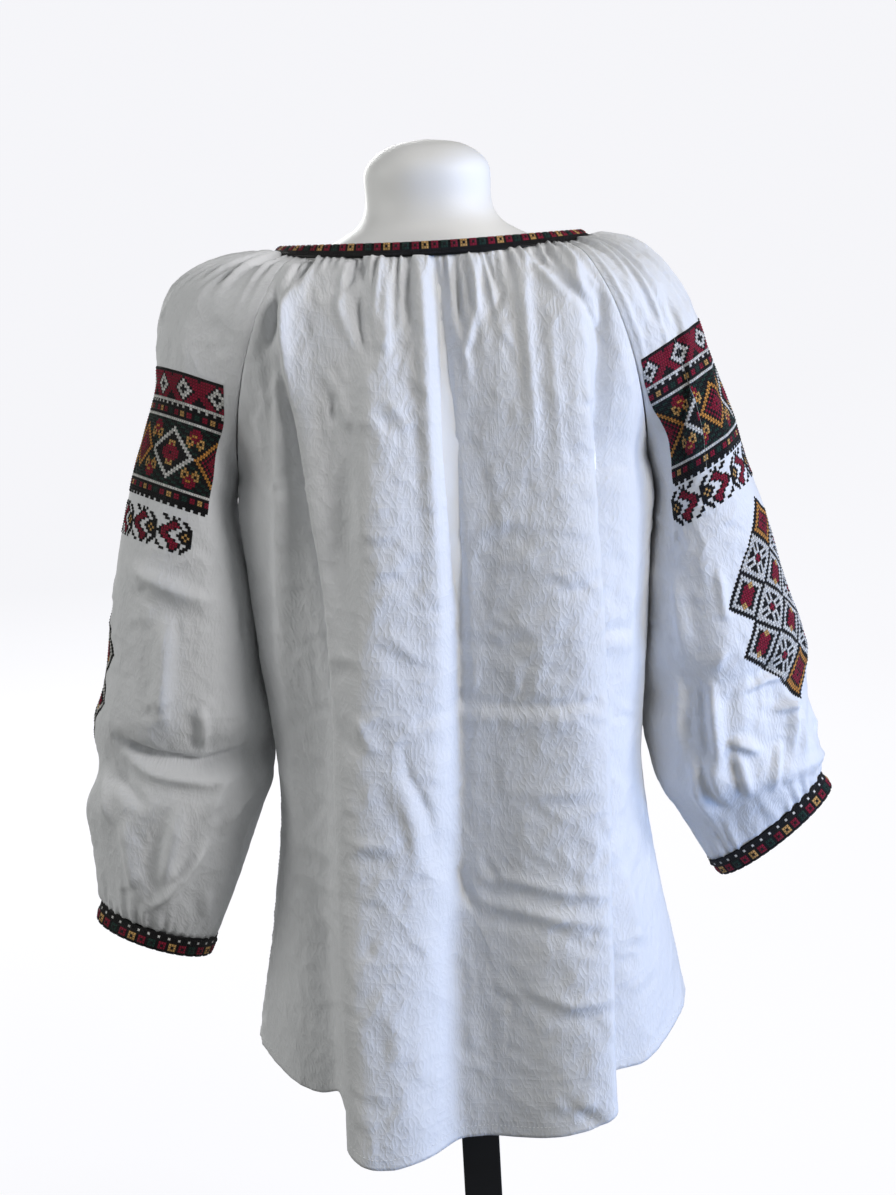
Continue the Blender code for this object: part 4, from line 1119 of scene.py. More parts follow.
def diamond_group():
    """Diamonds that share their outlines: rows of 1, 2, 3, 2, 3, 2 and 1, down the sleeve."""
    chart = np.full((8 * REACH + 1, 6 * REACH + 1), NONE)
    middle = 3 * REACH
    for k, count in enumerate((1, 2, 3, 2, 3, 2, 1)):
        row = REACH * (k + 1)
        for j in range(count):
            column = middle + REACH * (2 * j - count + 1)
            if count == 1:
                diamond(chart, row, column, RINGS_O)
                stamp(chart, CROSS, row, column)
            elif count == 2:
                diamond(chart, row, column, RINGS_S)
                stamp(chart, SNOW, row, column)
            else:
                diamond(chart, row, column, RINGS_B)
                stamp(chart, PAIR, row, column)
    return chart


band_chart = shoulder_chart()
scroll_chart = np.tile(SCROLL[:, ::-1], (1, 7))
group_chart = diamond_group()
for name, chart in (("band", band_chart), ("scrolls", scroll_chart), ("group", group_chart)):
    print(f"the {name}: {chart.shape[1]} by {chart.shape[0]} squares, {np.count_nonzero(chart)} stitches")

# %% [markdown]
# ## Placing stitches on a folded sleeve
#
# The embroidery was worked on flat cloth, so its squares keep their size along the cloth and bend
# with it. To place them, the sleeve is cut by slanting planes, one for each half stitch down the
# chart. Each cut is a line on the cloth, and stitches are stepped off along that line by its true
# length. Where a tuck has swallowed some cloth, the chart's columns there are left out.

# %% Stepping off stitches
PITCH = 0.0021
SLEEVE_MIDDLE_X = 0.19  # about the middle of a sleeve, which its stitches face away from


def at_places(grid, row, column):
    """Values of a grid of points between its rows and columns."""
    r0 = np.clip(row.astype(int), 0, grid.shape[0] - 2)
    c0 = np.clip(column.astype(int), 0, grid.shape[1] - 2)
    fr, fc = (row - r0)[..., None], (column - c0)[..., None]
    top = grid[r0, c0] * (1 - fc) + grid[r0, c0 + 1] * fc
    low = grid[r0 + 1, c0] * (1 - fc) + grid[r0 + 1, c0 + 1] * fc
    return top * (1 - fr) + low * fr


def slanting_cuts(points, slant, skew, top_z):
    """How far each point of the sleeve lies past the plane through the band's upper edge."""
    direction = np.array((slant, skew, -1.0))
    direction /= np.linalg.norm(direction)
    middle = points[:, points.shape[1] // 2]
    start = np.array([np.interp(-top_z, -middle[:, 2], middle[:, k]) for k in range(3)])
    depth = (points - start) @ direction
    steady = np.maximum.accumulate(depth, axis=0)
    return steady + np.arange(len(points))[:, None] * 1e-7


def stepped_off(points, depth, down, along):
    """Grid rows and columns of the places that lie down and along the cloth, from its middle."""
    count = points.shape[1]
    numbers = np.arange(len(points))
    row_out = np.empty((len(down), len(along[0])))
    column_out = row_out.copy()
    for k, (t, s) in enumerate(zip(down, along)):
        cut = np.array([np.interp(t, depth[:, c], numbers) for c in range(count)])
        line = at_places(points, cut, np.arange(count, dtype=float))
        length = np.concatenate(([0], np.cumsum(np.linalg.norm(np.diff(line, axis=0), axis=1))))
        length -= length[count // 2]
        column_out[k] = np.interp(s, length, np.arange(count))
        row_out[k] = np.interp(column_out[k], np.arange(count), cut)
    return row_out, column_out


STITCH_RELIEF = 0.00085  # how far a stitch stands out of the cloth in its middle
EDGE_RELIEF = 0.00018  # at the middle of each side
CORNER_RELIEF = 0.00034  # and at its corners, where its threads go into the cloth


def stitched(name, chart, places, normals, relief=STITCH_RELIEF):
    """Cross-stitches over a lattice of half stitches. Each is a little cushion of 4 squares."""
    i, j = np.indices(places.shape[:2])
    lift = np.where((i % 2 == 1) & (j % 2 == 1), relief, EDGE_RELIEF)
    lift = np.where((i % 2 == 0) & (j % 2 == 0), CORNER_RELIEF, lift)
    mesh = sheet_mesh(name, places + normals * lift[..., None])
    squares = np.repeat(np.repeat(chart, 2, axis=0), 2, axis=1)
    mesh.polygons.foreach_set("material_index", np.maximum(squares - 1, 0).reshape(-1).astype(np.int32))
    corner = np.empty(len(mesh.loops), np.int32)
    mesh.loops.foreach_get("vertex_index", corner)
    layer = mesh.uv_layers.new(name="cloth")
    half = np.stack((j, i), axis=-1).reshape(-1, 2)[corner] * 0.5
    face_middle = np.repeat(half.reshape(-1, 4, 2).mean(axis=1), 4, axis=0)
    inside = half + (face_middle - half) * 0.02
    layer.uv.foreach_set("vector", np.ascontiguousarray(inside, np.float32).reshape(-1))
    bm = bmesh.new()
    bm.from_mesh(mesh)
    bm.faces.ensure_lookup_table()
    bare = [face for face, square in zip(bm.faces, squares.reshape(-1)) if square == NONE]
    bmesh.ops.delete(bm, geom=bare, context="FACES")
    bm.to_mesh(mesh)
    bm.free()
    obj = finished(name, mesh, *threads)
    return obj


def sleeve_motif(name, chart, points, mirror, depth, start, shift, pitch=PITCH, tuck=None):
    """Places a chart on a sleeve: start metres down from the band's top, shift along the cut.
    It returns the places of the half stitches."""
    rows, columns = chart.shape
    down = start + np.arange(2 * rows + 1) * pitch / 2
    along = (np.arange(2 * columns + 1) / 2 - columns / 2) * pitch
    chart = chart.copy()
    along = np.repeat(along[None, :], len(down), axis=0)
    if tuck:
        tuck_at, swallowed = tuck
        lost = (along[0, 1::2] < tuck_at) & (along[0, 1::2] > tuck_at - swallowed)
        chart[:, lost] = NONE
        beyond = along < tuck_at - swallowed / 2
        along = np.where(beyond, np.minimum(along + swallowed, tuck_at), along)
    row, column = stepped_off(points, depth, down, along + shift)
    outside = (column[1::2, 1::2] < 1.0) | (column[1::2, 1::2] > points.shape[1] - 2.0)
    chart[outside] = NONE
    normal = outward(points, points.mean(axis=1, keepdims=True))
    places = at_places(points, row, column)
    turned = at_places(normal, row, column)
    if mirror:
        places, turned = places * MIRROR, turned * MIRROR
    obj = stitched(name, chart, places, turned)
    face_out(obj.data, (-SLEEVE_MIDDLE_X if mirror else SLEEVE_MIDDLE_X, 0, places[..., 2].mean()))
    return places


# %% The sleeves' embroidery
# slant tilts the way down the chart outwards, and skew below 0 tilts it to the back. top_z is the
# height of the band's upper edge at the sleeve's middle.
left_depth = slanting_cuts(left_sleeve, slant=0.40, skew=-0.15, top_z=0.815)
right_depth = slanting_cuts(right_sleeve, slant=0.55, skew=-0.05, top_z=0.830)
TUCK = (-0.055, 0.025)  # where the right sleeve's tuck starts along a cut, and what it swallows
GROUP_PITCH = 0.0022  # the groups of diamonds are worked a little coarser
band_places = sleeve_motif(
    "shoulder_band_left", band_chart, left_sleeve, True, left_depth, start=0.0, shift=0.005
)
sleeve_motif(
    "shoulder_band_right", band_chart, right_sleeve, False, right_depth, start=0.0, shift=-0.025,
    tuck=TUCK,
)
sleeve_motif("scrolls_left", scroll_chart, left_sleeve, True, left_depth, start=0.105, shift=0.005)
sleeve_motif(
    "scrolls_right", scroll_chart, right_sleeve, False, right_depth, start=0.100, shift=-0.015
)
sleeve_motif(
    "diamonds_left", group_chart, left_sleeve, True, left_depth, start=0.165, shift=0.025,
    pitch=GROUP_PITCH,
)
sleeve_motif(
    "diamonds_right", group_chart, right_sleeve, False, right_depth, start=0.140, shift=-0.035,
    pitch=GROUP_PITCH,
)
lowest, highest = band_places[..., 2].min(), band_places[..., 2].max()
print(f"the left band reaches from {lowest:.3f} to {highest:.3f}")

# %% [markdown]
# ## The neck band and the cuffs
#
# A band is a strip folded over the gathered edge and sewn down on both sides. Its section is an
# upturned U, which is swept round the neckline, or round the wrist for a cuff. The stitches cover
# its outer face: a row of round dots, three stitches wide, over a plain black edge. Each dot is a
# little higher in its middle, so the band's edge looks like a row of beads.

# %% The neck band
STITCH_GAP = 0.0006
BAND_TALL = 0.0095
BAND_HALF = 0.0012  # half the band's thickness
BAND_LEAN = (12.0, 60.0, 38.0)  # degrees that the band leans in: back, shoulders, front
CLOTH_LEAN = (18.0, 82.0, 44.0)  # and the cloth just below it
STRIP_THICK = 0.0006
BAND_RELIEF = 0.0005  # how far a band's stitches stand out
U_SECTION = (
    (-0.0012, -1.0), (0.0010, -1.0), (0.35, -1.0), (0.70, -1.0), (0.92, -0.86), (0.985, -0.45),
    (1.0, 0.0), (0.985, 0.45), (0.92, 0.86), (0.70, 1.0), (0.35, 1.0), (0.0010, 1.0), (-0.0012, 1.0),
)


def neck_ring(angle):
    """The neckline. angle is 0 at the middle of the back and half a turn at the front."""
    half_x, ring_z = SHOULDER[0][0], SHOULDER[0][1]
    mid_y, depth, front_drop, back_drop = (SHOULDER[0][k] for k in (4, 5, 7, 8))
    drop = np.where(np.cos(angle) > 0, back_drop, front_drop) * np.cos(angle) ** 2
    x, y = half_x * np.sin(angle), mid_y - depth * np.cos(angle)
    return np.stack((x, y, ring_z - drop), axis=-1)


def leaning(angle, back, shoulder, front):
    """How far the neckline's cloth leans in, in radians."""
    end = np.where(np.cos(angle) > 0, back, front)
    return np.radians(end + (shoulder - end) * np.sin(angle) ** 2)


def neck_frame(angle):
    """The band's lower edge, the way up along the band, and the way out of it."""
    lean, below = leaning(angle, *BAND_LEAN), leaning(angle, *CLOTH_LEAN)
    radial = np.stack((np.sin(angle), -np.cos(angle), 0 * angle), axis=-1)
    up = np.array((0.0, 0.0, 1.0))
    rise = up * np.cos(lean)[..., None] - radial * np.sin(lean)[..., None]
    out = radial * np.cos(lean)[..., None] + up * np.sin(lean)[..., None]
    start = neck_ring(angle) + rise * (STITCH_GAP + BAND_HALF * np.sin(below - lean))[..., None]
    return start, rise, out


def swept_strip(name, frames, tall, half, material, closed):
    """The U-shaped strip along a path of frames."""
    start, rise, out = frames
    rows = []
    for share, side in U_SECTION:
        height = share * tall if share > 0 else share
        rows.append(start + rise * height + out * side * (half - STRIP_THICK / 2))
    mesh = sheet_mesh(name, np.stack(rows), weld_round=closed)
    obj = finished(name, mesh, material)
    wall = obj.modifiers.new("strip wall", "SOLIDIFY")
    wall.thickness = STRIP_THICK
    wall.offset = 0.0
    return obj


def even_angles(ring, start, end, count):
    """Angles whose points lie evenly along a ring."""
    dense = np.linspace(start, end, 4000)
    length = np.concatenate(([0], np.cumsum(np.linalg.norm(np.diff(ring(dense), axis=0), axis=1))))
    return np.interp(np.linspace(0, length[-1], count + 1), length, dense), length[-1]


def band_stitches(name, chart, frames, tall, half, domes):
    """Stitches on a band's outer face. The chart's first row lies along the band's upper edge."""
    start, rise, out = frames
    rows = chart.shape[0]
    levels = np.linspace(tall + 0.0002, -0.0002, 2 * rows + 1)
    swell = np.array([domes(k / 2) for k in range(2 * rows + 1)])
    near_top = np.clip((levels - 0.90 * tall) / (0.10 * tall), 0, 1)
    places = start[None] + rise[None] * levels[:, None, None]
    depth = half * np.sqrt(1 - 0.55 * near_top**2)
    places = places + out[None] * (depth[:, None] + swell)[..., None]
    return stitched(name, chart, places, np.broadcast_to(out[None], places.shape), BAND_RELIEF)


def bead_swell(columns, first, size, period, start, height):
    """How far the dots of a band stand out, for each half stitch down and across."""
    across = np.arange(2 * columns + 1) / 2

    def at(row):
        middle = first + size / 2
        away = abs(row - middle) / (size / 2)
        place = ((across - start) % period - size / 2) / (size / 2)
        round_dot = 1 - away**2 - place**2
        return height * np.sqrt(np.clip(round_dot, 0, 1))

    return at


NECK_PITCH = 0.0018
_, neck_length = even_angles(neck_ring, 0, math.tau, 10)
neck_columns = 16 * round(neck_length / NECK_PITCH / 16)
half_steps, _ = even_angles(neck_ring, math.pi, 3 * math.pi, 2 * neck_columns)
band_steps, _ = even_angles(neck_ring, math.pi, 3 * math.pi, 240)
neck_band = swept_strip(
    "neck_band_strip", neck_frame(band_steps), BAND_TALL, BAND_HALF, threads[0], True
)
neck_chart = np.full((5, neck_columns), BLACK)
dots(neck_chart, 1, 4, DOT_COLOURS)
neck_chart[0, 3::4] = NONE
neck_beads = band_stitches(
    "neck_band_stitches", neck_chart, neck_frame(half_steps), BAND_TALL, BAND_HALF,
    bead_swell(neck_columns, 0, 3, 4, 0, 0.0009),
)
for piece in (neck_band, neck_beads):
    face_out(piece.data, (0, 0.0085, 0.885))
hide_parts("neck_band")
print(f"the neck band is {neck_length:.3f} m round, {neck_columns} stitches")

# %% The cuffs
CUFF_TALL = 0.0150
CUFF_SLIT = 0.0070
CUFF_PITCH = 0.0021


def cuff_ends(table):
    """A wrist's middle, its half axes outwards and front to back, and the way down the cuff."""
    outer_x, outer_z, seam_x, seam_z, mid_y, depth = table[-1][:6]
    middle = np.array(((outer_x + seam_x) / 2, mid_y, (outer_z + seam_z) / 2))
    half = np.array(((outer_x - seam_x) / 2, 0.0, (outer_z - seam_z) / 2))
    down = np.array((half[2], 0.0, -half[0])) / np.linalg.norm(half)
    return middle, half, np.array((0.0, depth, 0.0)), down


def cuff_pieces(side, table, mirror):
    middle, half, deep, down = cuff_ends(table)
    slit = CUFF_SLIT / 2 / deep[1]

    def ring(angle):
        return middle + half * np.cos(angle)[..., None] + deep * np.sin(angle)[..., None]

    def frames(angle):
        flip = MIRROR if mirror else 1.0
        out = half / np.dot(half, half) * np.cos(angle)[..., None]
        out = out + deep / np.dot(deep, deep) * np.sin(angle)[..., None]
        out /= np.linalg.norm(out, axis=-1, keepdims=True)
        # the strip's fold is the cuff's free edge, so the way up along it points down the arm
        start = ring(angle) + down * STITCH_GAP
        return start * flip, np.broadcast_to(down * flip, start.shape), out * flip

    _, length = even_angles(ring, slit - math.pi, math.pi - slit, 10)
    columns = round(length / CUFF_PITCH)
    steps, _ = even_angles(ring, slit - math.pi, math.pi - slit, 120)
    halves, _ = even_angles(ring, slit - math.pi, math.pi - slit, 2 * columns)
    centre = middle * (MIRROR if mirror else 1.0)
    strip = swept_strip(
        f"cuff_{side}_strip", frames(steps), CUFF_TALL, BAND_HALF, threads[0], False
    )
    chart = np.full((7, columns), BLACK)
    dots(chart, 2, 4, DOT_COLOURS)
    chart[0, 3::4] = NONE
    chart[5, 3::4] = WHITE
    beads = band_stitches(
        f"cuff_{side}_stitches", chart, frames(halves), CUFF_TALL, BAND_HALF,
        bead_swell(columns, 1, 3, 4, 0, 0.0008),
    )
    for piece in (strip, beads):
        face_out(piece.data, centre + down * (MIRROR if mirror else 1.0) * CUFF_TALL / 2)
    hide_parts(f"cuff_{side}")
    return columns


for side, table, mirror in (("left", LEFT_SLEEVE, True), ("right", RIGHT_SLEEVE, False)):
    print(f"the {side} cuff: {cuff_pieces(side, table, mirror)} stitches round")

# %% [markdown]
# ## The cuffs' knots
#
# Each cuff is closed by a thread knot between its two ends. A knot of wound thread is a small
# ball with turns of thread round it, so a sphere's points are pushed out in a spiral.

# %% Thread knots
KNOT_HALF_SIZES = (0.0022, 0.0029, 0.0027)


def thread_knot(name, table, mirror):
    middle, half, _, down = cuff_ends(table)
    place = middle - half + down * (STITCH_GAP + CUFF_TALL * 0.3)
    if mirror:
        place = place * MIRROR
    bm = bmesh.new()
    bmesh.ops.create_uvsphere(bm, u_segments=40, v_segments=28, radius=1.0)
    for vert in bm.verts:
        x, y, z = vert.co
        turns = math.sin(2 * math.atan2(z, x) + 16 * y) * math.sqrt(max(0.0, 1 - y * y))
        vert.co = (x, y, z) if abs(y) > 0.999 else vert.co * (1 + 0.07 * turns)
    bmesh.ops.scale(bm, vec=KNOT_HALF_SIZES, verts=bm.verts)
    bmesh.ops.translate(bm, vec=place, verts=bm.verts)
    mesh = bpy.data.meshes.new(name)
    bm.to_mesh(mesh)
    bm.free()
    obj = finished(name, mesh, threads[0])
    return obj


for side, table, mirror in (("left", LEFT_SLEEVE, True), ("right", RIGHT_SLEEVE, False)):
    knot = thread_knot(f"thread_knot_{side}", table, mirror)
    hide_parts(f"cuff_knot_{side}")

# %% [markdown]
# ## Sewing thread
#
# The hem and the side seams are sewn with small even running stitches. Each stitch is a rounded
# bead of thread, stretched along its line and half sunk in the cloth. They are placed on the
# sheets' own grids, so they follow every fold.

# %% Running stitches
def running_stitches(name, lines, spacing=0.0034, length=0.0022, thick=0.00042):
    """Small thread stitches along lines of points, each a 20-face bead."""
    bm = bmesh.new()
    made = 0
    for points, normals in lines:
        steps = np.concatenate(([0], np.cumsum(np.linalg.norm(np.diff(points, axis=0), axis=1))))
        for place in np.arange(spacing, steps[-1] - spacing, spacing):
            here = [np.interp(place, steps, points[:, k]) for k in range(3)]
            ahead = [np.interp(place + length / 2, steps, points[:, k]) for k in range(3)]
            out = np.array([np.interp(place, steps, normals[:, k]) for k in range(3)])
            along = np.array(ahead) - here
            along /= np.linalg.norm(along) + 1e-9
            out -= along * np.dot(out, along)
            out /= np.linalg.norm(out) + 1e-9
            across = np.cross(out, along)
            ball = bmesh.ops.create_icosphere(bm, subdivisions=1, radius=1.0)["verts"]
            for vert in ball:
                x, y, z = vert.co
                spot = here + along * (x * length / 2) + across * (y * thick / 2)
                vert.co = spot + out * (z * thick * 0.6 + thick * 0.2)
            made += 1
    mesh = bpy.data.meshes.new(name)
    bm.to_mesh(mesh)
    bm.free()
    obj = finished(name, mesh, sewing_thread)
    return made


MIDDLE_COLUMN = 100  # a column near the middle of both panels' grids
SEAM_COLUMNS = (3, -4)  # where a panel's two side seams are sewn
SEAM_FIRST_ROW = 118  # thread shows along the side seams from this row of a panel's grid down
sewing_thread = cotton_material("sewing_thread", (0.84, 0.84, 0.83))
lines = []
for points in (back_points, front_points):
    normals = outward(points, points.mean(axis=1, keepdims=True) * (1, 0.3, 1))
    hem_row = PANEL_ROWS - 3
    row_height = np.linalg.norm(points[-1, MIDDLE_COLUMN] - points[hem_row, MIDDLE_COLUMN])
    while row_height < HEM_DEPTH - 0.0020:
        hem_row -= 1
        row_height = np.linalg.norm(points[-1, MIDDLE_COLUMN] - points[hem_row, MIDDLE_COLUMN])
    lines.append((points[hem_row], normals[hem_row]))
    for column in SEAM_COLUMNS:
        seam = (slice(SEAM_FIRST_ROW, -3), column)
        lines.append((points[seam], normals[seam]))
print(running_stitches("hem_and_side_stitches", lines), "running stitches")

# %% [markdown]
# ## The dress form
#
# A limbless form is one smooth moulded shell: hips, waist, chest, sloping shoulders and a short
# neck with a domed cap. A grid is wrapped round the table of its sections and welded into a tube,
# then its underside is filled. Its sections are a little squarer than an ellipse, as a body's are.

# %% The form
# z, half width, back_y, front_y
FORM = (
    (0.3300, 0.114, -0.074, 0.084),
    (0.3360, 0.120, -0.080, 0.090),
    (0.3700, 0.125, -0.083, 0.094),
    (0.4200, 0.124, -0.084, 0.094),
    (0.4700, 0.121, -0.085, 0.092),
    (0.5200, 0.119, -0.088, 0.092),
    (0.5700, 0.126, -0.096, 0.098),
    (0.6300, 0.138, -0.105, 0.116),
    (0.6900, 0.146, -0.111, 0.133),
    (0.7400, 0.151, -0.111, 0.132),
    (0.7900, 0.163, -0.106, 0.117),
    (0.8300, 0.177, -0.097, 0.098),
    (0.8600, 0.178, -0.087, 0.078),
    (0.8780, 0.1695, -0.078, 0.065),
    (0.8880, 0.148, -0.066, 0.062),
    (0.8946, 0.125, -0.056, 0.057),
    (0.8985, 0.088, -0.057, 0.052),
    (0.9080, 0.065, -0.056, 0.050),
    (0.9180, 0.053, -0.052, 0.050),
    (0.9320, 0.0485, -0.049, 0.049),
    (0.9535, 0.0485, -0.049, 0.049),
    (0.9650, 0.0415, -0.042, 0.042),
    (0.9740, 0.0260, -0.026, 0.026),
    (0.9778, 0.0005, -0.0005, 0.0005),
)
FORM_SQUARE = 0.90
FORM_SIDES = 112


def form_material():
    material, nodes, links, surface = new_material("white_form_shell")
    surface.inputs["Roughness"].default_value = 0.48
    surface.inputs["Specular IOR Level"].default_value = 0.4
    mottle = node(nodes, "ShaderNodeTexNoise", Scale=1.0, Detail=3.0)
    links.new(mapped(nodes, links, (14, 14, 14), "Object"), mottle.inputs["Vector"])
    tint = node(nodes, "ShaderNodeMix", data_type="RGBA")
    tint.inputs["A"].default_value = (0.92, 0.92, 0.915, 1)
    tint.inputs["B"].default_value = (0.96, 0.96, 0.96, 1)
    links.new(mottle.outputs["Fac"], tint.inputs["Factor"])
    links.new(tint.outputs["Result"], surface.inputs["Base Color"])
    grain = node(nodes, "ShaderNodeTexNoise", Scale=1.0, Detail=2.0)
    links.new(mapped(nodes, links, (420, 420, 420), "Object"), grain.inputs["Vector"])
    bump = node(nodes, "ShaderNodeBump", Strength=0.25, Distance=0.0002)
    links.new(grain.outputs["Fac"], bump.inputs["Height"])
    links.new(bump.outputs["Normal"], surface.inputs["Normal"])
    return material


form_rows = np.unique(np.concatenate([np.linspace(k, k + 1, 6) for k in range(len(FORM) - 1)]))
sections = between(FORM, form_rows)
turn = np.linspace(0, math.tau, FORM_SIDES + 1)[None, :]
cos, sin = np.cos(turn), np.sin(turn)
shape_x = np.sign(cos) * abs(cos) ** FORM_SQUARE
shape_y = np.sign(sin) * abs(sin) ** FORM_SQUARE
deep = np.where(sin > 0, sections[:, 3:4], -sections[:, 2:3])
form_points = np.stack(
    np.broadcast_arrays(sections[:, 1:2] * shape_x, deep * shape_y, sections[:, 0:1]), axis=-1
)
mesh = sheet_mesh("form_shell_smooth", form_points, weld_round=True)
bm = bmesh.new()
bm.from_mesh(mesh)
edges = [edge for edge in bm.edges if edge.is_boundary]
bmesh.ops.holes_fill(bm, edges=edges, sides=0)
bmesh.ops.recalc_face_normals(bm, faces=bm.faces)
bm.to_mesh(mesh)
bm.free()
form = finished("form_shell_smooth", mesh, form_material())
mesh.set_sharp_from_angle(angle=math.radians(50))
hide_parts("dress_form")
print("the form has", len(mesh.polygons), "faces")

# %% [markdown]
# ## The stand
#
# The post and the flat foot are square steel with a satin black finish. Their solids are already
# right, with rounded edges, so they stay as they are and only get their finish: a fine uneven
# gloss.

# %% Painted steel
def painted_steel():
    material, nodes, links, surface = new_material("satin_black_steel")
    surface.inputs["Metallic"].default_value = 0.0
    surface.inputs["Specular IOR Level"].default_value = 0.5
    cloudy = node(nodes, "ShaderNodeTexNoise", Scale=1.0, Detail=4.0)
    links.new(mapped(nodes, links, (30, 30, 30), "Object"), cloudy.inputs["Vector"])
    tint = node(nodes, "ShaderNodeMix", data_type="RGBA")
    tint.inputs["A"].default_value = (0.004, 0.004, 0.0045, 1)
    tint.inputs["B"].default_value = (0.009, 0.009, 0.010, 1)
    links.new(cloudy.outputs["Fac"], tint.inputs["Factor"])
    links.new(tint.outputs["Result"], surface.inputs["Base Color"])
    gloss = node(nodes, "ShaderNodeMapRange")
    gloss.inputs["To Min"].default_value = 0.34
    gloss.inputs["To Max"].default_value = 0.50
    links.new(cloudy.outputs["Fac"], gloss.inputs["Value"])
    links.new(gloss.outputs["Result"], surface.inputs["Roughness"])
    grain = node(nodes, "ShaderNodeTexNoise", Scale=1.0, Detail=3.0)
    links.new(mapped(nodes, links, (900, 900, 900), "Object"), grain.inputs["Vector"])
    bump = node(nodes, "ShaderNodeBump", Strength=0.3, Distance=0.0001)
    links.new(grain.outputs["Fac"], bump.inputs["Height"])
    links.new(bump.outputs["Normal"], surface.inputs["Normal"])
    return material


steel = painted_steel()
for name in ("post", "foot"):
    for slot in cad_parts[name].material_slots:
        slot.material = steel
print("finished the stand")

# %% [markdown]
# ## What each sheet was cut from
#
# A gathered piece is cut straight, as wide as the modelled cloth is at its fullest when that is
# spread out, and as long as it hangs. Those are the flat sizes here. The modelled cloth has less
# surface than such a piece, because its gathers take up less of the width than real ones would, and
# the share that is printed says how much less.

# %% The cuts
EMBROIDERY = ("shoulder_band", "scrolls", "diamonds")
for piece, flat, area, rests, worked in (
    (back, (0.61, 0.69), back_area, ["neck_band_strip"], []),
    (front, (0.63, 0.65), front_area, ["neck_band_strip"], []),
    (
        sleeve_left, (0.46, 0.61), left_area, ["neck_band_strip", "cuff_left_strip"],
        [f"{part}_left" for part in EMBROIDERY],
    ),
    (
        sleeve_right, (0.45, 0.54), right_area, ["neck_band_strip", "cuff_right_strip"],
        [f"{part}_right" for part in EMBROIDERY],
    ),
):
    share = area / (flat[0] * flat[1])
    print(f"{piece.name}: cut {flat[0]:.2f} by {flat[1]:.2f} m, and modelled with {share:.2f} of that")

# %% [markdown]
# ## Backdrop, light and camera
#
# A round pale cove stands all round the object, so there is no horizon from any side. It is left
# out of the bounced light, because a white wall on every side would wash the folds out. Two soft
# lights from the right, one of them almost from the side, model the folds, as a window would. A low
# bluish one lifts the lower half on the same side. A light from the left, one from the front and a
# dim even glow of the room fill the hollows.

# %% Backdrop
def cove():
    """A floor that curves up into a wall, turned all round."""
    bm = bmesh.new()
    floor, curve, wall = 2.6, 1.0, 4.5
    bmesh.ops.create_circle(bm, segments=96, radius=0.8)
    ring = bm.edges[:]
    steps = [(1.7, 0.0), (floor, 0.0)]
    for k in range(1, 11):
        angle = math.pi / 2 * k / 10
        steps.append((floor + curve * math.sin(angle), curve * (1 - math.cos(angle))))
    steps.append((floor + curve, wall))
    bmesh.ops.contextual_create(bm, geom=ring)
    for radius, height in steps:
        made = bmesh.ops.extrude_edge_only(bm, edges=ring)["geom"]
        ring = [part for part in made if isinstance(part, bmesh.types.BMEdge)]
        for vert in {vert for edge in ring for vert in edge.verts}:
            flat = Vector((vert.co.x, vert.co.y, 0.0)).normalized() * radius
            vert.co = (flat.x, flat.y, height)
    bmesh.ops.recalc_face_normals(bm, faces=bm.faces)
    mesh = bpy.data.meshes.new("pale_cove")
    bm.to_mesh(mesh)
    bm.free()
    obj = bpy.data.objects.new("pale_cove", mesh)
    bpy.context.scene.collection.objects.link(obj)
    mesh.shade_smooth()
    face_out(mesh, (0, 0, -9.0))
    material, _, _, surface = new_material("pale_paper")
    surface.inputs["Base Color"].default_value = (0.12, 0.12, 0.122, 1)
    surface.inputs["Roughness"].default_value = 0.95
    surface.inputs["Specular IOR Level"].default_value = 0.1
    surface.inputs["Emission Color"].default_value = (0.97, 0.97, 1.0, 1)
    surface.inputs["Emission Strength"].default_value = 0.90
    mesh.materials.append(material)
    obj.visible_diffuse = False
    obj.visible_glossy = False
    obj.visible_shadow = False


cove()

# %% Lights
scene = bpy.context.scene
scene.world = bpy.data.worlds.new("pale room")
scene.world.use_nodes = True
around = scene.world.node_tree.nodes["Background"]
around.inputs["Color"].default_value = (0.98, 1.0, 0.97, 1)
around.inputs["Strength"].default_value = 0.15


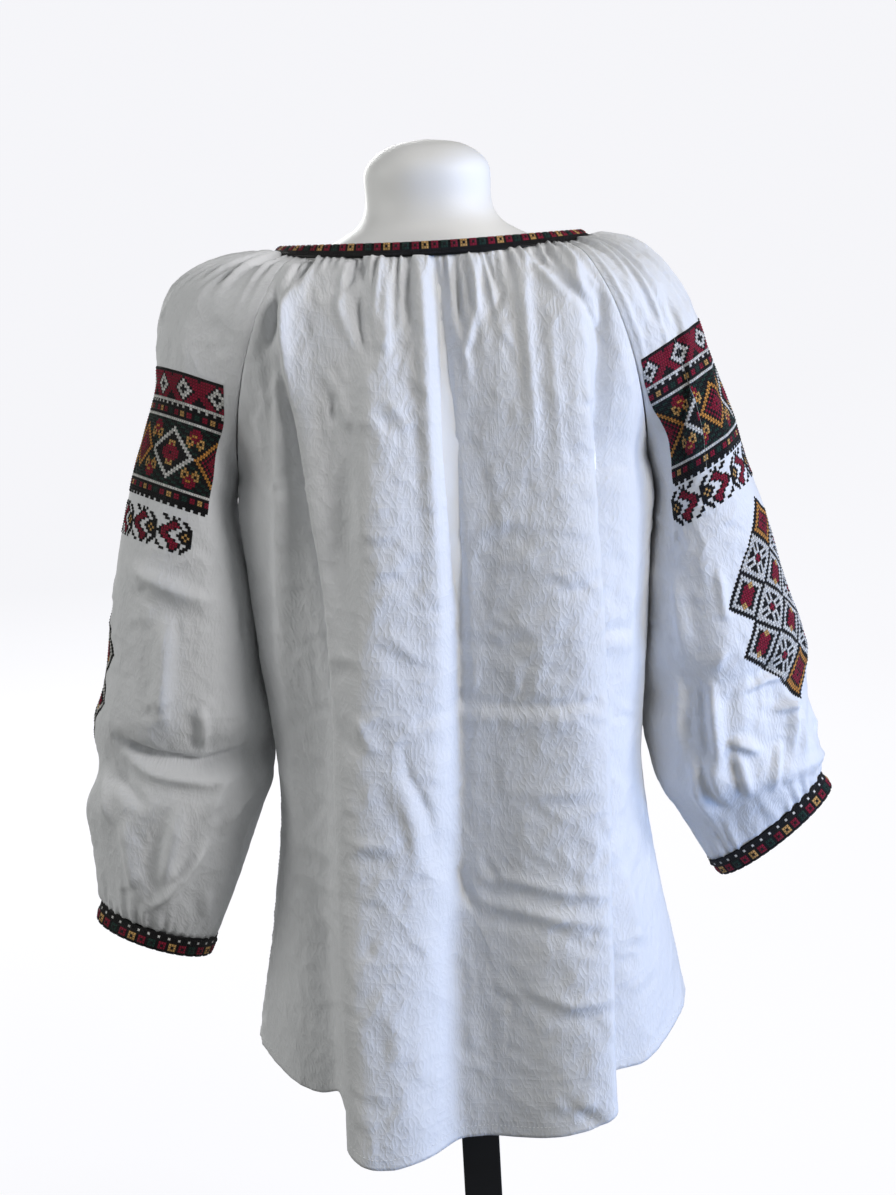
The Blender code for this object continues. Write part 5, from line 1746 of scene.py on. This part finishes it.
def soft_light(name, place, aim_height, size, power, colour):
    """A round area light, aimed at the middle line of the form."""
    light = bpy.data.lights.new(name, "AREA")
    light.shape = "DISK"
    light.size = size
    light.energy = power
    light.color = colour
    obj = bpy.data.objects.new(name, light)
    scene.collection.objects.link(obj)
    obj.location = place
    away = Vector(place) - Vector((0, 0, aim_height))
    obj.rotation_mode = "QUATERNION"
    obj.rotation_quaternion = away.to_track_quat("Z", "Y")
    obj.visible_camera = False


# name, place, the height it is aimed at, its width in metres, its power in watts, its colour
LIGHTS = (
    ("window light", (1.9, -1.9, 1.75), 0.6, 0.9, 39.0, (1.0, 0.985, 0.98)),
    ("side window light", (2.5, -0.62, 1.75), 0.6, 0.7, 22.0, (1.0, 0.985, 0.98)),
    ("room light", (-2.6, -0.3, 1.5), 0.6, 1.6, 26.0, (1.0, 1.0, 0.98)),
    ("light from the front", (-0.7, 2.6, 1.5), 0.6, 1.4, 46.0, (1.0, 1.0, 1.0)),
    ("low window light", (1.6, -0.7, 0.22), 0.35, 0.8, 15.0, (0.26, 0.48, 1.0)),
)
for light in LIGHTS:
    soft_light(*light)
print(len(LIGHTS), "soft lights")

# %% The camera
SENSOR = 36.0  # millimetres, along the longer side of the frame
FRAME_TALL = 1195.0  # pixels
FOCAL_PIXELS = 2032.0  # the focal length in those pixels
camera_data = bpy.data.cameras.new("camera")
camera_data.sensor_width = SENSOR
camera_data.lens = SENSOR * FOCAL_PIXELS / FRAME_TALL
camera_data.clip_start = 0.05
camera = bpy.data.objects.new("camera", camera_data)
scene.collection.objects.link(camera)
camera.location = (-0.002, -1.6, 0.90)
down, roll = math.radians(9.94), math.radians(3.2)
# the camera looks level along +Y, then down a little, and leans to one side about its own axis
tilt = Matrix.Rotation(math.pi / 2 - down, 3, "X")
lean = Matrix.Rotation(-roll, 3, "Z")
camera.rotation_euler = (tilt @ lean).to_euler()
scene.camera = camera
scene.view_settings.view_transform = "Standard"

# %% [markdown]
# ## The last update
#
# The view layer is updated once more at the end.

# %% The last update
bpy.context.view_layer.update()
